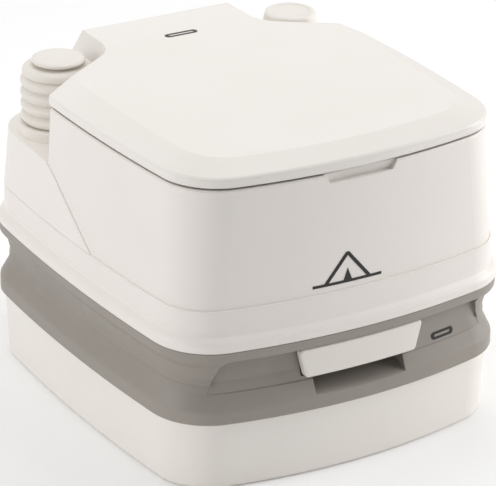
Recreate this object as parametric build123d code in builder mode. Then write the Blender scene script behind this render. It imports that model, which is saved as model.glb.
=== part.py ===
"""Portable camp toilet: a flush tank with bowl, seat, lid and bellows pump, on a waste tank with a slide valve.

Millimetres, +Z up, front towards -Y, origin on the floor under the middle of the object.
"""

from build123d import *

import math
import os
from collections import namedtuple

os.makedirs("parts", exist_ok=True)

# ---------------------------------------------------------------- driving dimensions
WIDTH = 386.0              # widest, across the skirt
DEPTH = 423.0              # widest, front to back
SIDE_BOW = 10.6            # how far each side bows out
WALL = 3.0                 # blow-moulded tank walls
LID_WALL = 2.6             # injection-moulded lid
SEAT_WALL = 3.0
BOWL_WALL = 2.5

BASE_TOP = 70.0            # white base meets the grey shell
TANK_SPLIT = 144.4         # the two tanks meet
FLARE_Z = 183.5            # the skirt meets the upper body
SHELF_Z = 243.5            # floor of the two rear corner bays
DECK_Z = 287.0             # sunken deck that the seat lies over
RIM_Z = 298.0              # top rim of the flush tank
LID_GAP = 2.0              # shadow gap between rim and lid
LID_BAND = 10.7            # height of the lid's upright band
LID_RISE = 7.6             # from the band to the crease of the top, at the front
TOP_SLOPE = 1.08           # degrees that the lid's top rises towards the rear
CREASE_INSET = 40.0

PORT_X = WIDTH / 2 - 60.0  # pump and fill neck, each side of the middle
PORT_Y = DEPTH / 2 - 73.5
BELLOWS_R = 37.3
BAY_GAP = 4.2              # around the bellows, in its bay
BAY_R = BELLOWS_R + BAY_GAP  # round part of each bay, about its port
TAIL_TOP = 83.5            # half width of the lid's tail at its top
HINGE_Y = DEPTH / 2 - 39.5
HINGE_Z = 313.5
PIN_R = 3.0
RUN_FIT = 0.05             # radial clearance of pins and shafts
FREE = 0.3                 # clearance between pieces that move past each other
EAR_X = 49.5               # inner side of each hinge ear of the tank
EAR_T = 10.5
ARM_T = 8.0                # seat arm
RIB_T = 5.0                # lid rib
HINGE_GAP = 1.0            # between ear, arm and rib
TROUGH_R = 23.2            # clears the lid's rear wall as it swings

BOWL_Y = -52.0             # middle of the bowl's mouth
BOWL_RX = 112.0
BOWL_RY = 118.0
VALVE_Y = -35.0            # middle of the outlet
OUTLET_R = 50.0
BLADE_T = 3.2
BLADE_Z = 118.0            # underside of the blade
RECESS_Z = 108.5           # floor of the valve recess
PLATE_HALF = 68.0
STEM_HALF = 24.0

HANDLE_TOP_HALF = 68.5
HANDLE_FOOT_HALF = 60.5
HANDLE_TOP = 133.4
HANDLE_FOOT = 103.5
HANDLE_T = 10.5
POCKET_HALF = 50.0
POCKET_FOOT = 84.5
POCKET_DEPTH = 39.5        # from the widest front to the pocket's back

BELLOWS_WALL = 2.0
FOLD_DEPTH = 3.6
FOLD_PITCH = 12.1
FOLDS = 4
COLLAR_R = BELLOWS_R + 2.1
COLLAR_H = 11.0
BUTTON_R = 26.0
BUTTON_T = 4.0
PUMP_TOP = 320.0

NECK_R = 23.0
NECK_TOP = 311.5
CAP_FOOT_R = NECK_R + 8.5
CAP_TOP_R = NECK_R + 2.5
CAP_TOP = 321.0
CAP_H = 33.0
CAP_LOBES = 8

NICHE_LEFT = -80.0         # rear niche that the pour-out spout folds into
NICHE_RIGHT = 102.0
NICHE_DEPTH = 71.5         # from the widest rear
NICHE_TOP = 213.0
SPOUT_X = 44.0
SPOUT_Y = DEPTH / 2 - 35.5
SPOUT_R = 19.0
SPOUT_Z = 181.0            # axis of its arm
SPOUT_ARM = 84.0
SPOUT_WALL = 2.5
SPOUT_BEND = SPOUT_R + 3.0
SPOUT_CAP_R = SPOUT_R + 5.0
SPOUT_CAP_H = 22.0

VENT_X = -60.0
VENT_Y = DEPTH / 2 - 53.0
VENT_R = 8.0
VENT_TRAVEL = 4.0
LATCH_X = 88.0
LATCH_W = 12.0
LATCH_Y = DEPTH / 2 - 54.0  # pivot of the latch lever
LATCH_Z = 178.0
LATCH_SWING = 12.0          # degrees from open to hooked

MARK_T = 0.35               # printed marks stand this proud

HALF_W = WIDTH / 2
HALF_D = DEPTH / 2
LID_FOOT = RIM_Z + LID_GAP
BAND_Z = LID_FOOT + LID_BAND
CREASE_Z = BAND_Z + LID_RISE
BLADE_TOP = BLADE_Z + BLADE_T
DECK_T = 3.0
WASTE_DECK = TANK_SPLIT - DECK_T
POCKET_BACK = -HALF_D + POCKET_DEPTH
ARM_X = EAR_X + EAR_T + HINGE_GAP
RIB_X = ARM_X + ARM_T + HINGE_GAP + 0.5
PIN_END = RIB_X + RIB_T + 2.5

# one level of the outline: height, inset from the widest outline, bow of the front, corner radius
Level = namedtuple("Level", "z inset bow corner")

BASE_LEVELS = [
    Level(0.0, 10.6, 26.0, 52.0),
    Level(1.4, 8.6, 26.2, 54.0),
    Level(4.2, 7.4, 26.5, 55.0),
    Level(BASE_TOP, 4.6, 27.5, 60.0),
]
GREY_LEVELS = [
    Level(BASE_TOP, 0.9, 28.0, 62.0),
    Level(71.0, 0.2, 28.0, 63.0),
    Level(81.2, 1.2, 27.5, 58.0),
    Level(84.0, 2.0, 27.4, 56.0),
    Level(88.0, 3.9, 27.0, 55.0),
    Level(98.0, 8.3, 25.5, 53.0),
    Level(106.0, 10.6, 24.5, 51.0),
    Level(106.9, 9.8, 24.3, 51.0),
    Level(113.0, 10.4, 24.2, 51.0),
    Level(126.5, 7.6, 24.0, 53.0),
    Level(134.2, 1.7, 23.6, 58.0),
    Level(135.4, 1.1, 23.6, 59.0),
    Level(TANK_SPLIT - 0.4, 0.7, 23.4, 60.0),
]
SKIRT_LEVELS = [
    Level(TANK_SPLIT, 0.6, 23.2, 61.0),
    Level(TANK_SPLIT + 0.8, 0.0, 23.2, 62.0),
    Level(151.6, 0.4, 23.2, 61.0),
    Level(154.6, 1.9, 23.4, 60.0),
    Level(158.4, 5.0, 23.6, 57.0),
    Level(163.0, 6.0, 23.8, 55.0),
    Level(FLARE_Z - 0.9, 6.6, 24.0, 53.0),
    Level(FLARE_Z, 7.8, 24.0, 51.5),
]
SHELF_LEVEL = Level(SHELF_Z, 11.2, 22.8, 54.0)
RIM_LEVELS = [
    Level(RIM_Z - 1.6, 14.0, 21.4, 57.0),
    Level(RIM_Z, 15.2, 21.3, 56.0),
]


def outline(level, inset=0.0):
    """Sketch of the plain outline at one level: bowed front and sides, straight rear, round corners."""
    half = HALF_W - SIDE_BOW - level.inset - inset
    side = half + SIDE_BOW
    front = -HALF_D + level.inset + inset
    rear = HALF_D - level.inset - inset
    knee = front + level.bow
    with BuildSketch(Plane.XY.offset(level.z)) as sketch:
        with BuildLine():
            ThreePointArc((-half, knee), (0, front), (half, knee))
            ThreePointArc((half, knee), (side, 0), (half, rear))
            Line((half, rear), (-half, rear))
            ThreePointArc((-half, rear), (-side, 0), (-half, knee))
        make_face()
        fillet(sketch.vertices(), level.corner - inset)
    return sketch.sketch


def tier(levels, inset=0.0):
    """Solid through the outline at each level."""
    with BuildPart() as solid:
        loft([outline(level, inset) for level in levels], ruled=True)
    return solid.part


def mix(low, high, share):
    """Value between low and high."""
    return low + (high - low) * share


def box_between(low, high):
    """Box from its low corner to its high corner."""
    with BuildPart() as solid:
        with Locations(tuple((a + b) / 2 for a, b in zip(low, high))):
            Box(*[b - a for a, b in zip(low, high)])
    return solid.part


def rod(x, y, low, high, radius):
    """Upright cylinder between two heights."""
    with BuildPart() as solid:
        with Locations((x, y, (low + high) / 2)):
            Cylinder(radius, high - low)
    return solid.part


def ring(x, y, low, high, outer, inner):
    """Upright ring between two heights."""
    with BuildPart() as solid:
        with BuildSketch(Plane.XY.offset(low)):
            with Locations((x, y)):
                Circle(outer)
                Circle(inner, mode=Mode.SUBTRACT)
        extrude(amount=high - low)
    return solid.part


def side_plate(x_low, x_high, points):
    """Plate with the given (y, z) corners, between two x values."""
    with BuildPart() as solid:
        with BuildSketch(Plane.YZ.offset(x_low)):
            with BuildLine():
                Polyline(*points, close=True)
            make_face()
        extrude(amount=x_high - x_low)
    return solid.part


def cross_rod(x_low, x_high, y, z, radius):
    """Cylinder along X."""
    with BuildPart() as solid:
        with BuildSketch(Plane.YZ.offset(x_low)):
            with Locations((y, z)):
                Circle(radius)
        extrude(amount=x_high - x_low)
    return solid.part


def bay_section(z, share, side, grow):
    """Sketch of one corner bay: share is 0 at the lid's foot and 1 at its top; grow widens it for a cavity."""
    far = HALF_W + 60
    elbow_x = PORT_X + 17.0 + 2.0 * share - 0.36 * grow
    elbow_y = PORT_Y - 67.0 + 6.0 * share - grow
    side_y = PORT_Y - 70.5 + 7.0 * share - grow
    reach = BAY_R + grow
    touch = math.radians(223.7)
    mid = math.radians(204.0)
    lean = (PORT_X - BAY_R - TAIL_TOP) * share
    touch_at = (PORT_X + reach * math.cos(touch) - 2.6 * share, PORT_Y + reach * math.sin(touch) + 1.2 * share)
    mid_at = (PORT_X + reach * math.cos(mid) - 0.7 * lean, PORT_Y + reach * math.sin(mid) + 0.6 * share)
    tail_at = (PORT_X - reach - lean, PORT_Y)
    with BuildSketch(Plane.XY.offset(z)) as sketch:
        with BuildLine():
            Polyline((side * far, side_y), (side * elbow_x, elbow_y), (side * touch_at[0], touch_at[1]))
            ThreePointArc(
                (side * touch_at[0], touch_at[1]), (side * mid_at[0], mid_at[1]), (side * tail_at[0], tail_at[1])
            )
            Polyline(
                (side * tail_at[0], tail_at[1]),
                (side * tail_at[0], HALF_D + 60),
                (side * far, HALF_D + 60),
                (side * far, side_y),
            )
        make_face()
    return sketch.sketch


def bays(foot_z, foot_share, top_z, top_share, grow=0.0):
    """Both corner bays between two heights, to cut away."""
    with BuildPart() as solid:
        for side in (1, -1):
            loft(
                [bay_section(foot_z, foot_share, side, grow), bay_section(top_z, top_share, side, grow)],
                ruled=True,
            )
    return solid.part


# the rear of tail and lid: (y, z) of its foot on the shelf, at the rim and at the lid's top
REAR_SHELF = (HALF_D - 14.0, SHELF_Z)
REAR_RIM = (HALF_D - 21.0, RIM_Z)
REAR_TOP_Y = HALF_D - 32.5
LID_TOP_REAR = CREASE_Z + math.tan(math.radians(TOP_SLOPE)) * 350.0


def behind_tank(shift=0.0):
    """What is cut away behind the tank's tail."""
    far = HALF_D + 60
    slope = (REAR_RIM[0] - REAR_SHELF[0]) / (REAR_RIM[1] - REAR_SHELF[1])
    top = REAR_SHELF[0] + slope * 80
    return side_plate(
        -HALF_W, HALF_W,
        [(REAR_SHELF[0] - shift, SHELF_Z), (far, SHELF_Z), (far, SHELF_Z + 80), (top - shift, SHELF_Z + 80)],
    )


def behind_lid(shift=0.0):
    """What is cut away behind the lid's tail."""
    far = HALF_D + 60
    slope = (REAR_TOP_Y - REAR_RIM[0]) / (LID_TOP_REAR - RIM_Z)
    low = RIM_Z - 10
    high = LID_TOP_REAR + 20
    return side_plate(
        -HALF_W, HALF_W,
        [
            (REAR_RIM[0] - shift + slope * (low - RIM_Z), low),
            (far, low),
            (far, high),
            (REAR_RIM[0] - shift + slope * (high - RIM_Z), high),
        ],
    )


# ---------------------------------------------------------------- waste tank: white base
with BuildPart() as waste_tank_base:
    add(tier(BASE_LEVELS))
    add(
        tier(
            [
                Level(WALL, BASE_LEVELS[2].inset, 26.5, 55.0),
                BASE_LEVELS[3],
                BASE_LEVELS[3]._replace(z=BASE_TOP + 5),
            ],
            WALL,
        ),
        mode=Mode.SUBTRACT,
    )
waste_tank_base.part.label = "waste_tank_base"
export_step(waste_tank_base.part, "parts/waste_tank_base.step")

# ---------------------------------------------------------------- waste tank: grey shell
PANEL_TOP = 134.2          # recessed front panel, under the flange
PANEL_FOOT = 98.5
PANEL_TOP_HALF = 139.0
PANEL_FOOT_HALF = 152.0
PANEL_LEVELS = [
    Level(PANEL_FOOT - 12, 5.6, 24.6, 50.0),
    Level(PANEL_FOOT, 9.3, 24.6, 50.0),
    Level(110.0, 12.0, 24.2, 50.0),
    Level(PANEL_TOP + 8, 13.4, 24.0, 50.0),
]
BACKING = WALL + 1.0       # shell thickness behind recesses
RECESS_HALF = PLATE_HALF + 4.0
RECESS_FRONT = POCKET_BACK + BACKING
RECESS_REAR = VALVE_Y + PLATE_HALF + 8.0
SLOT_HALF = OUTLET_R + 9.0
LOWER_TOP = BLADE_Z - FREE
UPPER_FOOT = BLADE_TOP + FREE

with BuildPart() as panel_cut:
    with BuildSketch(Plane.XZ.offset(HALF_D + 5)):
        with BuildLine():
            Polyline(
                (-PANEL_TOP_HALF, PANEL_TOP),
                (PANEL_TOP_HALF, PANEL_TOP),
                (PANEL_FOOT_HALF, PANEL_FOOT),
                (-PANEL_FOOT_HALF, PANEL_FOOT),
                close=True,
            )
        make_face()
    extrude(amount=-70)
    add(tier(PANEL_LEVELS), mode=Mode.SUBTRACT)


def pocket(grow):
    """Hollow behind and under the handle; grow makes the block that backs it."""
    front = -HALF_D - 5
    back = POCKET_BACK + grow
    half = HANDLE_FOOT_HALF + 1 + grow
    with BuildPart() as solid:
        add(box_between((-half, front, HANDLE_FOOT - 1 - grow), (half, back, PANEL_TOP - 2.6 + grow)))
        add(
            side_plate(
                -POCKET_HALF - grow, POCKET_HALF + grow,
                [
                    (front, POCKET_FOOT - 4 - grow),
                    (front + 10, POCKET_FOOT - grow),
                    (back, HANDLE_FOOT - 8 - grow),
                    (back, HANDLE_FOOT + grow),
                    (front, HANDLE_FOOT + grow),
                ],
            )
        )
    return solid.part


CAVITY_LEVELS = [
    Level(BASE_TOP - 2, 4.6, 27.5, 60.0),
    Level(73.0, 4.6, 27.5, 60.0),
    Level(76.0, 1.4, 27.5, 60.0),
    Level(83.0, 1.8, 27.5, 58.0),
    Level(88.0, 4.2, 27.0, 55.0),
    Level(98.0, 9.3, 25.0, 53.0),
    Level(110.0, 13.6, 24.2, 52.0),
    Level(WASTE_DECK - DECK_T, 13.6, 24.0, 52.0),
]

with BuildPart() as waste_cavity:
    add(tier(CAVITY_LEVELS, WALL))
    recess_wall = RECESS_HALF + WALL
    add(
        box_between((-recess_wall, -HALF_D, RECESS_Z - WALL), (recess_wall, RECESS_REAR + WALL, TANK_SPLIT)),
        mode=Mode.SUBTRACT,
    )
    add(pocket(BACKING), mode=Mode.SUBTRACT)

with BuildPart() as waste_tank_top:
    add(tier(GREY_LEVELS))
    add(waste_cavity.part, mode=Mode.SUBTRACT)
    add(panel_cut.part, mode=Mode.SUBTRACT)
    add(pocket(0.0), mode=Mode.SUBTRACT)
    # sunken top, inside the flange that the flush tank stands on
    add(tier([Level(WASTE_DECK, 24.0, 22.0, 42.0), Level(TANK_SPLIT + 2, 24.0, 22.0, 42.0)]), mode=Mode.SUBTRACT)
    # valve recess, outlet and the slot for the blade
    add(
        box_between((-RECESS_HALF, RECESS_FRONT, RECESS_Z), (RECESS_HALF, RECESS_REAR, TANK_SPLIT + 2)),
        mode=Mode.SUBTRACT,
    )
    add(rod(0, VALVE_Y, RECESS_Z - 2 * WALL, RECESS_Z + WALL, OUTLET_R), mode=Mode.SUBTRACT)
    add(
        box_between(
            (-SLOT_HALF - FREE, POCKET_BACK - 1, LOWER_TOP), (SLOT_HALF + FREE, RECESS_FRONT + 1, UPPER_FOOT)
        ),
        mode=Mode.SUBTRACT,
    )
    # seat of the spout's collar, spout hole and vent hole in the rear deck
    add(rod(SPOUT_X, SPOUT_Y, WASTE_DECK, TANK_SPLIT + 2, SPOUT_R + 8 + FREE), mode=Mode.SUBTRACT)
    add(rod(SPOUT_X, SPOUT_Y, WASTE_DECK - 8, WASTE_DECK + 2, SPOUT_R - SPOUT_WALL), mode=Mode.SUBTRACT)
    add(rod(VENT_X, VENT_Y, WASTE_DECK - 8, WASTE_DECK + 2, VENT_R - 3.5), mode=Mode.SUBTRACT)
waste_tank_top.part.label = "waste_tank_top"
export_step(waste_tank_top.part, "parts/waste_tank_top.step")

# ---------------------------------------------------------------- slide valve frame
PLATE_FRONT = RECESS_FRONT + 15.0
PLATE_REAR = VALVE_Y + PLATE_HALF
UPPER_TOP = 129.4
SEAL_TOP = 133.6
SEAL_T = 3.0
SCREW_R = 2.0
SCREW_SPOTS = [
    (side * (PLATE_HALF - 4.5), y)
    for side in (-1, 1)
    for y in (PLATE_FRONT + 8, VALVE_Y, PLATE_REAR - 8)
]

with BuildPart() as valve_lower_plate:
    add(box_between((-PLATE_HALF, PLATE_FRONT, RECESS_Z), (PLATE_HALF, PLATE_REAR, UPPER_FOOT)))
    add(
        box_between(
            (-SLOT_HALF - FREE, PLATE_FRONT - 1, LOWER_TOP), (SLOT_HALF + FREE, PLATE_REAR - 4, UPPER_FOOT + 1)
        ),
        mode=Mode.SUBTRACT,
    )
    add(rod(0, VALVE_Y, RECESS_Z - 1, UPPER_FOOT, OUTLET_R), mode=Mode.SUBTRACT)
    add(rod(0, VALVE_Y, LOWER_TOP - SEAL_T, UPPER_FOOT, OUTLET_R + 4.0), mode=Mode.SUBTRACT)
    for x, y in SCREW_SPOTS:
        add(rod(x, y, RECESS_Z - 1, UPPER_FOOT + 1, SCREW_R), mode=Mode.SUBTRACT)
valve_lower_plate.part.label = "valve_lower_plate"
export_step(valve_lower_plate.part, "parts/valve_lower_plate.step")

with BuildPart() as blade_seal:
    add(ring(0, VALVE_Y, LOWER_TOP - SEAL_T, LOWER_TOP, OUTLET_R + 4.0, OUTLET_R + 0.5))
blade_seal.part.label = "blade_seal"
export_step(blade_seal.part, "parts/blade_seal.step")

with BuildPart() as valve_upper_plate:
    add(box_between((-PLATE_HALF, PLATE_FRONT, UPPER_FOOT), (PLATE_HALF, PLATE_REAR, UPPER_TOP)))
    add(rod(0, VALVE_Y, UPPER_FOOT - 1, UPPER_TOP + 1, OUTLET_R), mode=Mode.SUBTRACT)
    add(rod(0, VALVE_Y, UPPER_TOP - SEAL_T, UPPER_TOP + 1, OUTLET_R + 6.0), mode=Mode.SUBTRACT)
    add(
        box_between(
            (-SLOT_HALF + 6, PLATE_FRONT - 1, UPPER_FOOT + 2.5), (SLOT_HALF - 6, PLATE_FRONT + 30, UPPER_TOP + 1)
        ),
        mode=Mode.SUBTRACT,
    )
    for x, y in SCREW_SPOTS:
        add(rod(x, y, UPPER_FOOT - 1, UPPER_TOP + 1, SCREW_R), mode=Mode.SUBTRACT)
valve_upper_plate.part.label = "valve_upper_plate"
export_step(valve_upper_plate.part, "parts/valve_upper_plate.step")

with BuildPart() as lip_seal:
    add(ring(0, VALVE_Y, UPPER_TOP - SEAL_T, UPPER_TOP, OUTLET_R + 6.0, OUTLET_R))
    add(ring(0, VALVE_Y, UPPER_TOP, SEAL_TOP, OUTLET_R + 3.5, OUTLET_R + 0.8))
lip_seal.part.label = "lip_seal"
export_step(lip_seal.part, "parts/lip_seal.step")

with BuildPart() as valve_screws:
    for x, y in SCREW_SPOTS:
        add(rod(x, y, RECESS_Z, UPPER_TOP, SCREW_R))
        add(rod(x, y, UPPER_TOP, UPPER_TOP + 2.2, SCREW_R * 2))
        add(rod(x, y, UPPER_TOP + 1.0, UPPER_TOP + 3, SCREW_R * 0.9), mode=Mode.SUBTRACT)
valve_screws.part.label = "valve_screws"
export_step(valve_screws.part, "parts/valve_screws.step")

# ---------------------------------------------------------------- valve blade and handle
HANDLE_INSET = 1.6
HANDLE_BACK = -HALF_D + HANDLE_INSET + HANDLE_T
STEM_FRONT = HANDLE_BACK - 6.0
BLADE_FRONT = VALVE_Y - OUTLET_R - 8.0
BLADE_REAR = VALVE_Y + OUTLET_R + 9.0
HANDLE_SCREW_X = 16.0

with BuildPart() as valve_blade:
    add(box_between((-SLOT_HALF, BLADE_FRONT, BLADE_Z), (SLOT_HALF, BLADE_REAR, BLADE_TOP)))
    fillet(valve_blade.edges().filter_by(Axis.Z).group_by(Axis.Y)[-1], 10.0)
    add(box_between((-STEM_HALF, STEM_FRONT, BLADE_Z), (STEM_HALF, BLADE_FRONT + 1, BLADE_TOP)))
    stem_middle = (HANDLE_BACK + BLADE_FRONT) / 2
    add(
        box_between((-9, stem_middle - 30, BLADE_Z - 1), (9, stem_middle + 30, BLADE_TOP + 1)),
        mode=Mode.SUBTRACT,
    )
valve_blade.part.label = "valve_blade"
export_step(valve_blade.part, "parts/valve_blade.step")

with BuildPart() as valve_handle:
    with BuildSketch(Plane.XZ.offset(-HANDLE_BACK)) as handle_front:
        with BuildLine():
            Polyline(
                (-HANDLE_TOP_HALF, HANDLE_TOP),
                (HANDLE_TOP_HALF, HANDLE_TOP),
                (HANDLE_FOOT_HALF, HANDLE_FOOT),
                (-HANDLE_FOOT_HALF, HANDLE_FOOT),
                close=True,
            )
        make_face()
        fillet(handle_front.vertices(), 4.0)
    extrude(amount=HANDLE_T + 8)
    add(
        tier([Level(HANDLE_FOOT - 5, HANDLE_INSET, 23.6, 50.0), Level(HANDLE_TOP + 5, HANDLE_INSET, 23.6, 50.0)]),
        mode=Mode.INTERSECT,
    )
    fillet(valve_handle.faces().sort_by(Axis.Y)[0].edges(), 2.4)
    # finger hollow behind the lower half, and the slot for the blade's stem
    add(
        box_between(
            (-HANDLE_FOOT_HALF + 6, HANDLE_BACK - 6.5, HANDLE_FOOT - 1),
            (HANDLE_FOOT_HALF - 6, HANDLE_BACK + 1, BLADE_Z - 3.5),
        ),
        mode=Mode.SUBTRACT,
    )
    add(
        box_between((-STEM_HALF, STEM_FRONT, BLADE_Z), (STEM_HALF, HANDLE_BACK + 1, BLADE_TOP)),
        mode=Mode.SUBTRACT,
    )
    for x in (-HANDLE_SCREW_X, HANDLE_SCREW_X):
        add(rod(x, HANDLE_BACK - 3.0, BLADE_Z - 4, BLADE_Z, 1.5), mode=Mode.SUBTRACT)
valve_handle.part.label = "valve_handle"
export_step(valve_handle.part, "parts/valve_handle.step")

with BuildPart() as handle_screws:
    for x in (-HANDLE_SCREW_X, HANDLE_SCREW_X):
        add(rod(x, HANDLE_BACK - 3.0, BLADE_Z - 3.5, BLADE_Z, 1.5))
        add(rod(x, HANDLE_BACK - 3.0, BLADE_Z - 5.5, BLADE_Z - 3.5, 2.8))
handle_screws.part.label = "handle_screws"
export_step(handle_screws.part, "parts/handle_screws.step")

# ---------------------------------------------------------------- pour-out spout and its cap
with BuildPart() as spout_collar:
    add(ring(SPOUT_X, SPOUT_Y, WASTE_DECK, WASTE_DECK + 4, SPOUT_R + 8, SPOUT_R + RUN_FIT))
    add(ring(SPOUT_X, SPOUT_Y, WASTE_DECK + 4, WASTE_DECK + 10, SPOUT_R + 5, SPOUT_R + RUN_FIT))
spout_collar.part.label = "spout_collar"
export_step(spout_collar.part, "parts/spout_collar.step")


def spout_body(radius, foot, mouth_x):
    """Upright neck, round bend and level arm of one radius."""
    with BuildPart() as solid:
        with BuildLine() as path:
            FilletPolyline(
                (SPOUT_X, SPOUT_Y, foot),
                (SPOUT_X, SPOUT_Y, SPOUT_Z),
                (mouth_x, SPOUT_Y, SPOUT_Z),
                radius=SPOUT_BEND,
            )
        with BuildSketch(Plane(origin=path.line @ 0, z_dir=path.line % 0)):
            Circle(radius)
        sweep(path=path.line)
    return solid.part


with BuildPart() as pour_spout:
    add(spout_body(SPOUT_R, WASTE_DECK + 0.2, SPOUT_X - SPOUT_ARM))
    add(spout_body(SPOUT_R - SPOUT_WALL, WASTE_DECK - 2, SPOUT_X - SPOUT_ARM - 2), mode=Mode.SUBTRACT)
pour_spout.part.label = "pour_spout"
export_step(pour_spout.part, "parts/pour_spout.step")

SPOUT_SEAL_T = 2.0
SPOUT_END = SPOUT_X - SPOUT_ARM - SPOUT_SEAL_T - 3.0

with BuildPart() as spout_cap:
    with BuildSketch(Plane.YZ.offset(SPOUT_END)):
        with Locations((SPOUT_Y, SPOUT_Z)):
            Circle(SPOUT_CAP_R)
            with PolarLocations(SPOUT_CAP_R + 1.5, 12):
                Circle(3.0, mode=Mode.SUBTRACT)
    extrude(amount=SPOUT_CAP_H)
    add(
        cross_rod(SPOUT_END + 3, SPOUT_END + SPOUT_CAP_H + 1, SPOUT_Y, SPOUT_Z, SPOUT_R + RUN_FIT),
        mode=Mode.SUBTRACT,
    )
spout_cap.part.label = "spout_cap"
export_step(spout_cap.part, "parts/spout_cap.step")

with BuildPart() as spout_cap_seal:
    with BuildSketch(Plane.YZ.offset(SPOUT_END + 3)):
        with Locations((SPOUT_Y, SPOUT_Z)):
            Circle(SPOUT_R)
            Circle(SPOUT_R - 5.0, mode=Mode.SUBTRACT)
    extrude(amount=SPOUT_SEAL_T - 0.1)
spout_cap_seal.part.label = "spout_cap_seal"
export_step(spout_cap_seal.part, "parts/spout_cap_seal.step")

# ---------------------------------------------------------------- vent button on the waste tank
GUIDE_TOP = WASTE_DECK + 9.0
HEAD_FOOT = WASTE_DECK + VENT_TRAVEL + 1.6
VENT_WIRE = 0.5

with BuildPart() as vent_guide:
    add(ring(VENT_X, VENT_Y, WASTE_DECK, GUIDE_TOP, VENT_R + 3, VENT_R))
vent_guide.part.label = "vent_guide"
export_step(vent_guide.part, "parts/vent_guide.step")

with BuildPart() as vent_button:
    add(rod(VENT_X, VENT_Y, HEAD_FOOT, GUIDE_TOP + VENT_TRAVEL + 1, VENT_R - RUN_FIT))
    fillet(vent_button.edges().sort_by(Axis.Z)[-1], 1.5)
    add(rod(VENT_X, VENT_Y, WASTE_DECK - DECK_T - 3.6, HEAD_FOOT, 2.2))
vent_button.part.label = "vent_button"
export_step(vent_button.part, "parts/vent_button.step")

with BuildPart() as vent_seal:
    add(ring(VENT_X, VENT_Y, WASTE_DECK - DECK_T - 3.4, WASTE_DECK - DECK_T - 0.2, 7.5, 2.2))
vent_seal.part.label = "vent_seal"
export_step(vent_seal.part, "parts/vent_seal.step")

with BuildPart() as vent_spring:
    with BuildLine() as vent_coil:
        Helix(1.8, HEAD_FOOT - WASTE_DECK - 2 * VENT_WIRE, 6.2, center=(VENT_X, VENT_Y, WASTE_DECK + VENT_WIRE))
    with BuildSketch(Plane(origin=vent_coil.line @ 0, z_dir=vent_coil.line % 0)):
        Circle(VENT_WIRE)
    sweep(path=vent_coil.line, is_frenet=True)
vent_spring.part.label = "vent_spring"
export_step(vent_spring.part, "parts/vent_spring.step")

# ---------------------------------------------------------------- latch between the tanks
HOOK_UNDER = 156.0
HOOK_NOSE = LATCH_Y - 3.5

with BuildPart() as latch_hook:
    add(
        side_plate(
            LATCH_X - LATCH_W / 2, LATCH_X + LATCH_W / 2,
            [
                (HOOK_NOSE - 9, WASTE_DECK),
                (HOOK_NOSE - 3.6, WASTE_DECK),
                (HOOK_NOSE - 3.6, HOOK_UNDER),
                (HOOK_NOSE, HOOK_UNDER),
                (HOOK_NOSE - 3.6, HOOK_UNDER + 5),
                (HOOK_NOSE - 9, HOOK_UNDER + 5),
            ],
        )
    )
latch_hook.part.label = "latch_hook"
export_step(latch_hook.part, "parts/latch_hook.step")

with BuildPart() as latch_hooked:
    add(
        side_plate(
            LATCH_X - LATCH_W / 2, LATCH_X + LATCH_W / 2,
            [
                (LATCH_Y - 2.6, 149.0),
                (LATCH_Y + 2.6, 149.0),
                (LATCH_Y + 4.0, LATCH_Z),
                (LATCH_Y + 2.6, LATCH_Z + 20),
                (LATCH_Y - 2.0, LATCH_Z + 20),
                (LATCH_Y - 4.0, LATCH_Z),
                (LATCH_Y - 2.6, HOOK_UNDER - 0.6),
                (LATCH_Y - 6.4, HOOK_UNDER - 0.6),
                (LATCH_Y - 6.4, 151.0),
            ],
        )
    )
    add(cross_rod(LATCH_X - 7, LATCH_X + 7, LATCH_Y, LATCH_Z, PIN_R - 1 + RUN_FIT), mode=Mode.SUBTRACT)
latch_lever = latch_hooked.part.rotate(Axis((0, LATCH_Y, LATCH_Z), (1, 0, 0)), LATCH_SWING)
latch_lever.label = "latch_lever"
export_step(latch_lever, "parts/latch_lever.step")

LUG_X = LATCH_W / 2 + 0.5
LUG_T = 4.0

with BuildPart() as latch_pin:
    add(cross_rod(LATCH_X - LUG_X - LUG_T, LATCH_X + LUG_X + LUG_T, LATCH_Y, LATCH_Z, PIN_R - 1))
latch_pin.part.label = "latch_pin"
export_step(latch_pin.part, "parts/latch_pin.step")

# ---------------------------------------------------------------- flush tank shell
NICHE_Y = HALF_D - NICHE_DEPTH
TANK_LEVELS = SKIRT_LEVELS + [SHELF_LEVEL] + RIM_LEVELS
TANK_CAVITY = [
    Level(TANK_SPLIT - 2, 1.2, 23.2, 60.0),
    Level(151.6, 1.2, 23.2, 60.0),
    Level(160.0, 6.2, 23.8, 56.0),
    Level(FLARE_Z, 7.8, 24.0, 51.5),
    Level(SHELF_Z - WALL, 11.2, 22.8, 54.0),
    Level(DECK_Z - WALL, 13.4, 21.4, 57.0),
]
HOSE_R = 4.0
HOSE_X = -PORT_X + 16.0
HOSE_Y = PORT_Y - 16.0
SUCTION_R = 4.5
GRIP_HALF = 40.0
GRIP_FOOT = 289.5


def ear(side):
    """Hinge ear of the tank: a leaning plate with a round boss."""
    low = EAR_X if side > 0 else -EAR_X - EAR_T
    high = low + EAR_T
    with BuildPart() as solid:
        add(
            side_plate(
                low, high,
                [
                    (HINGE_Y - 36, DECK_Z - 1),
                    (HINGE_Y - 17, DECK_Z - 1),
                    (HINGE_Y - 7.4, HINGE_Z - 4),
                    (HINGE_Y, HINGE_Z),
                    (HINGE_Y - 5, HINGE_Z + 6.2),
                    (HINGE_Y - 20, HINGE_Z - 6),
                ],
            )
        )
        add(cross_rod(low, high, HINGE_Y, HINGE_Z, 8.0))
        add(cross_rod(low - 1, high + 1, HINGE_Y, HINGE_Z, PIN_R), mode=Mode.SUBTRACT)
    return solid.part


def bowl_section(z, x_radius, y_radius, y):
    """Oval section of the bowl."""
    with BuildSketch(Plane.XY.offset(z)) as sketch:
        with Locations((0, y)):
            Ellipse(x_radius, y_radius)
    return sketch.sketch


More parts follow.
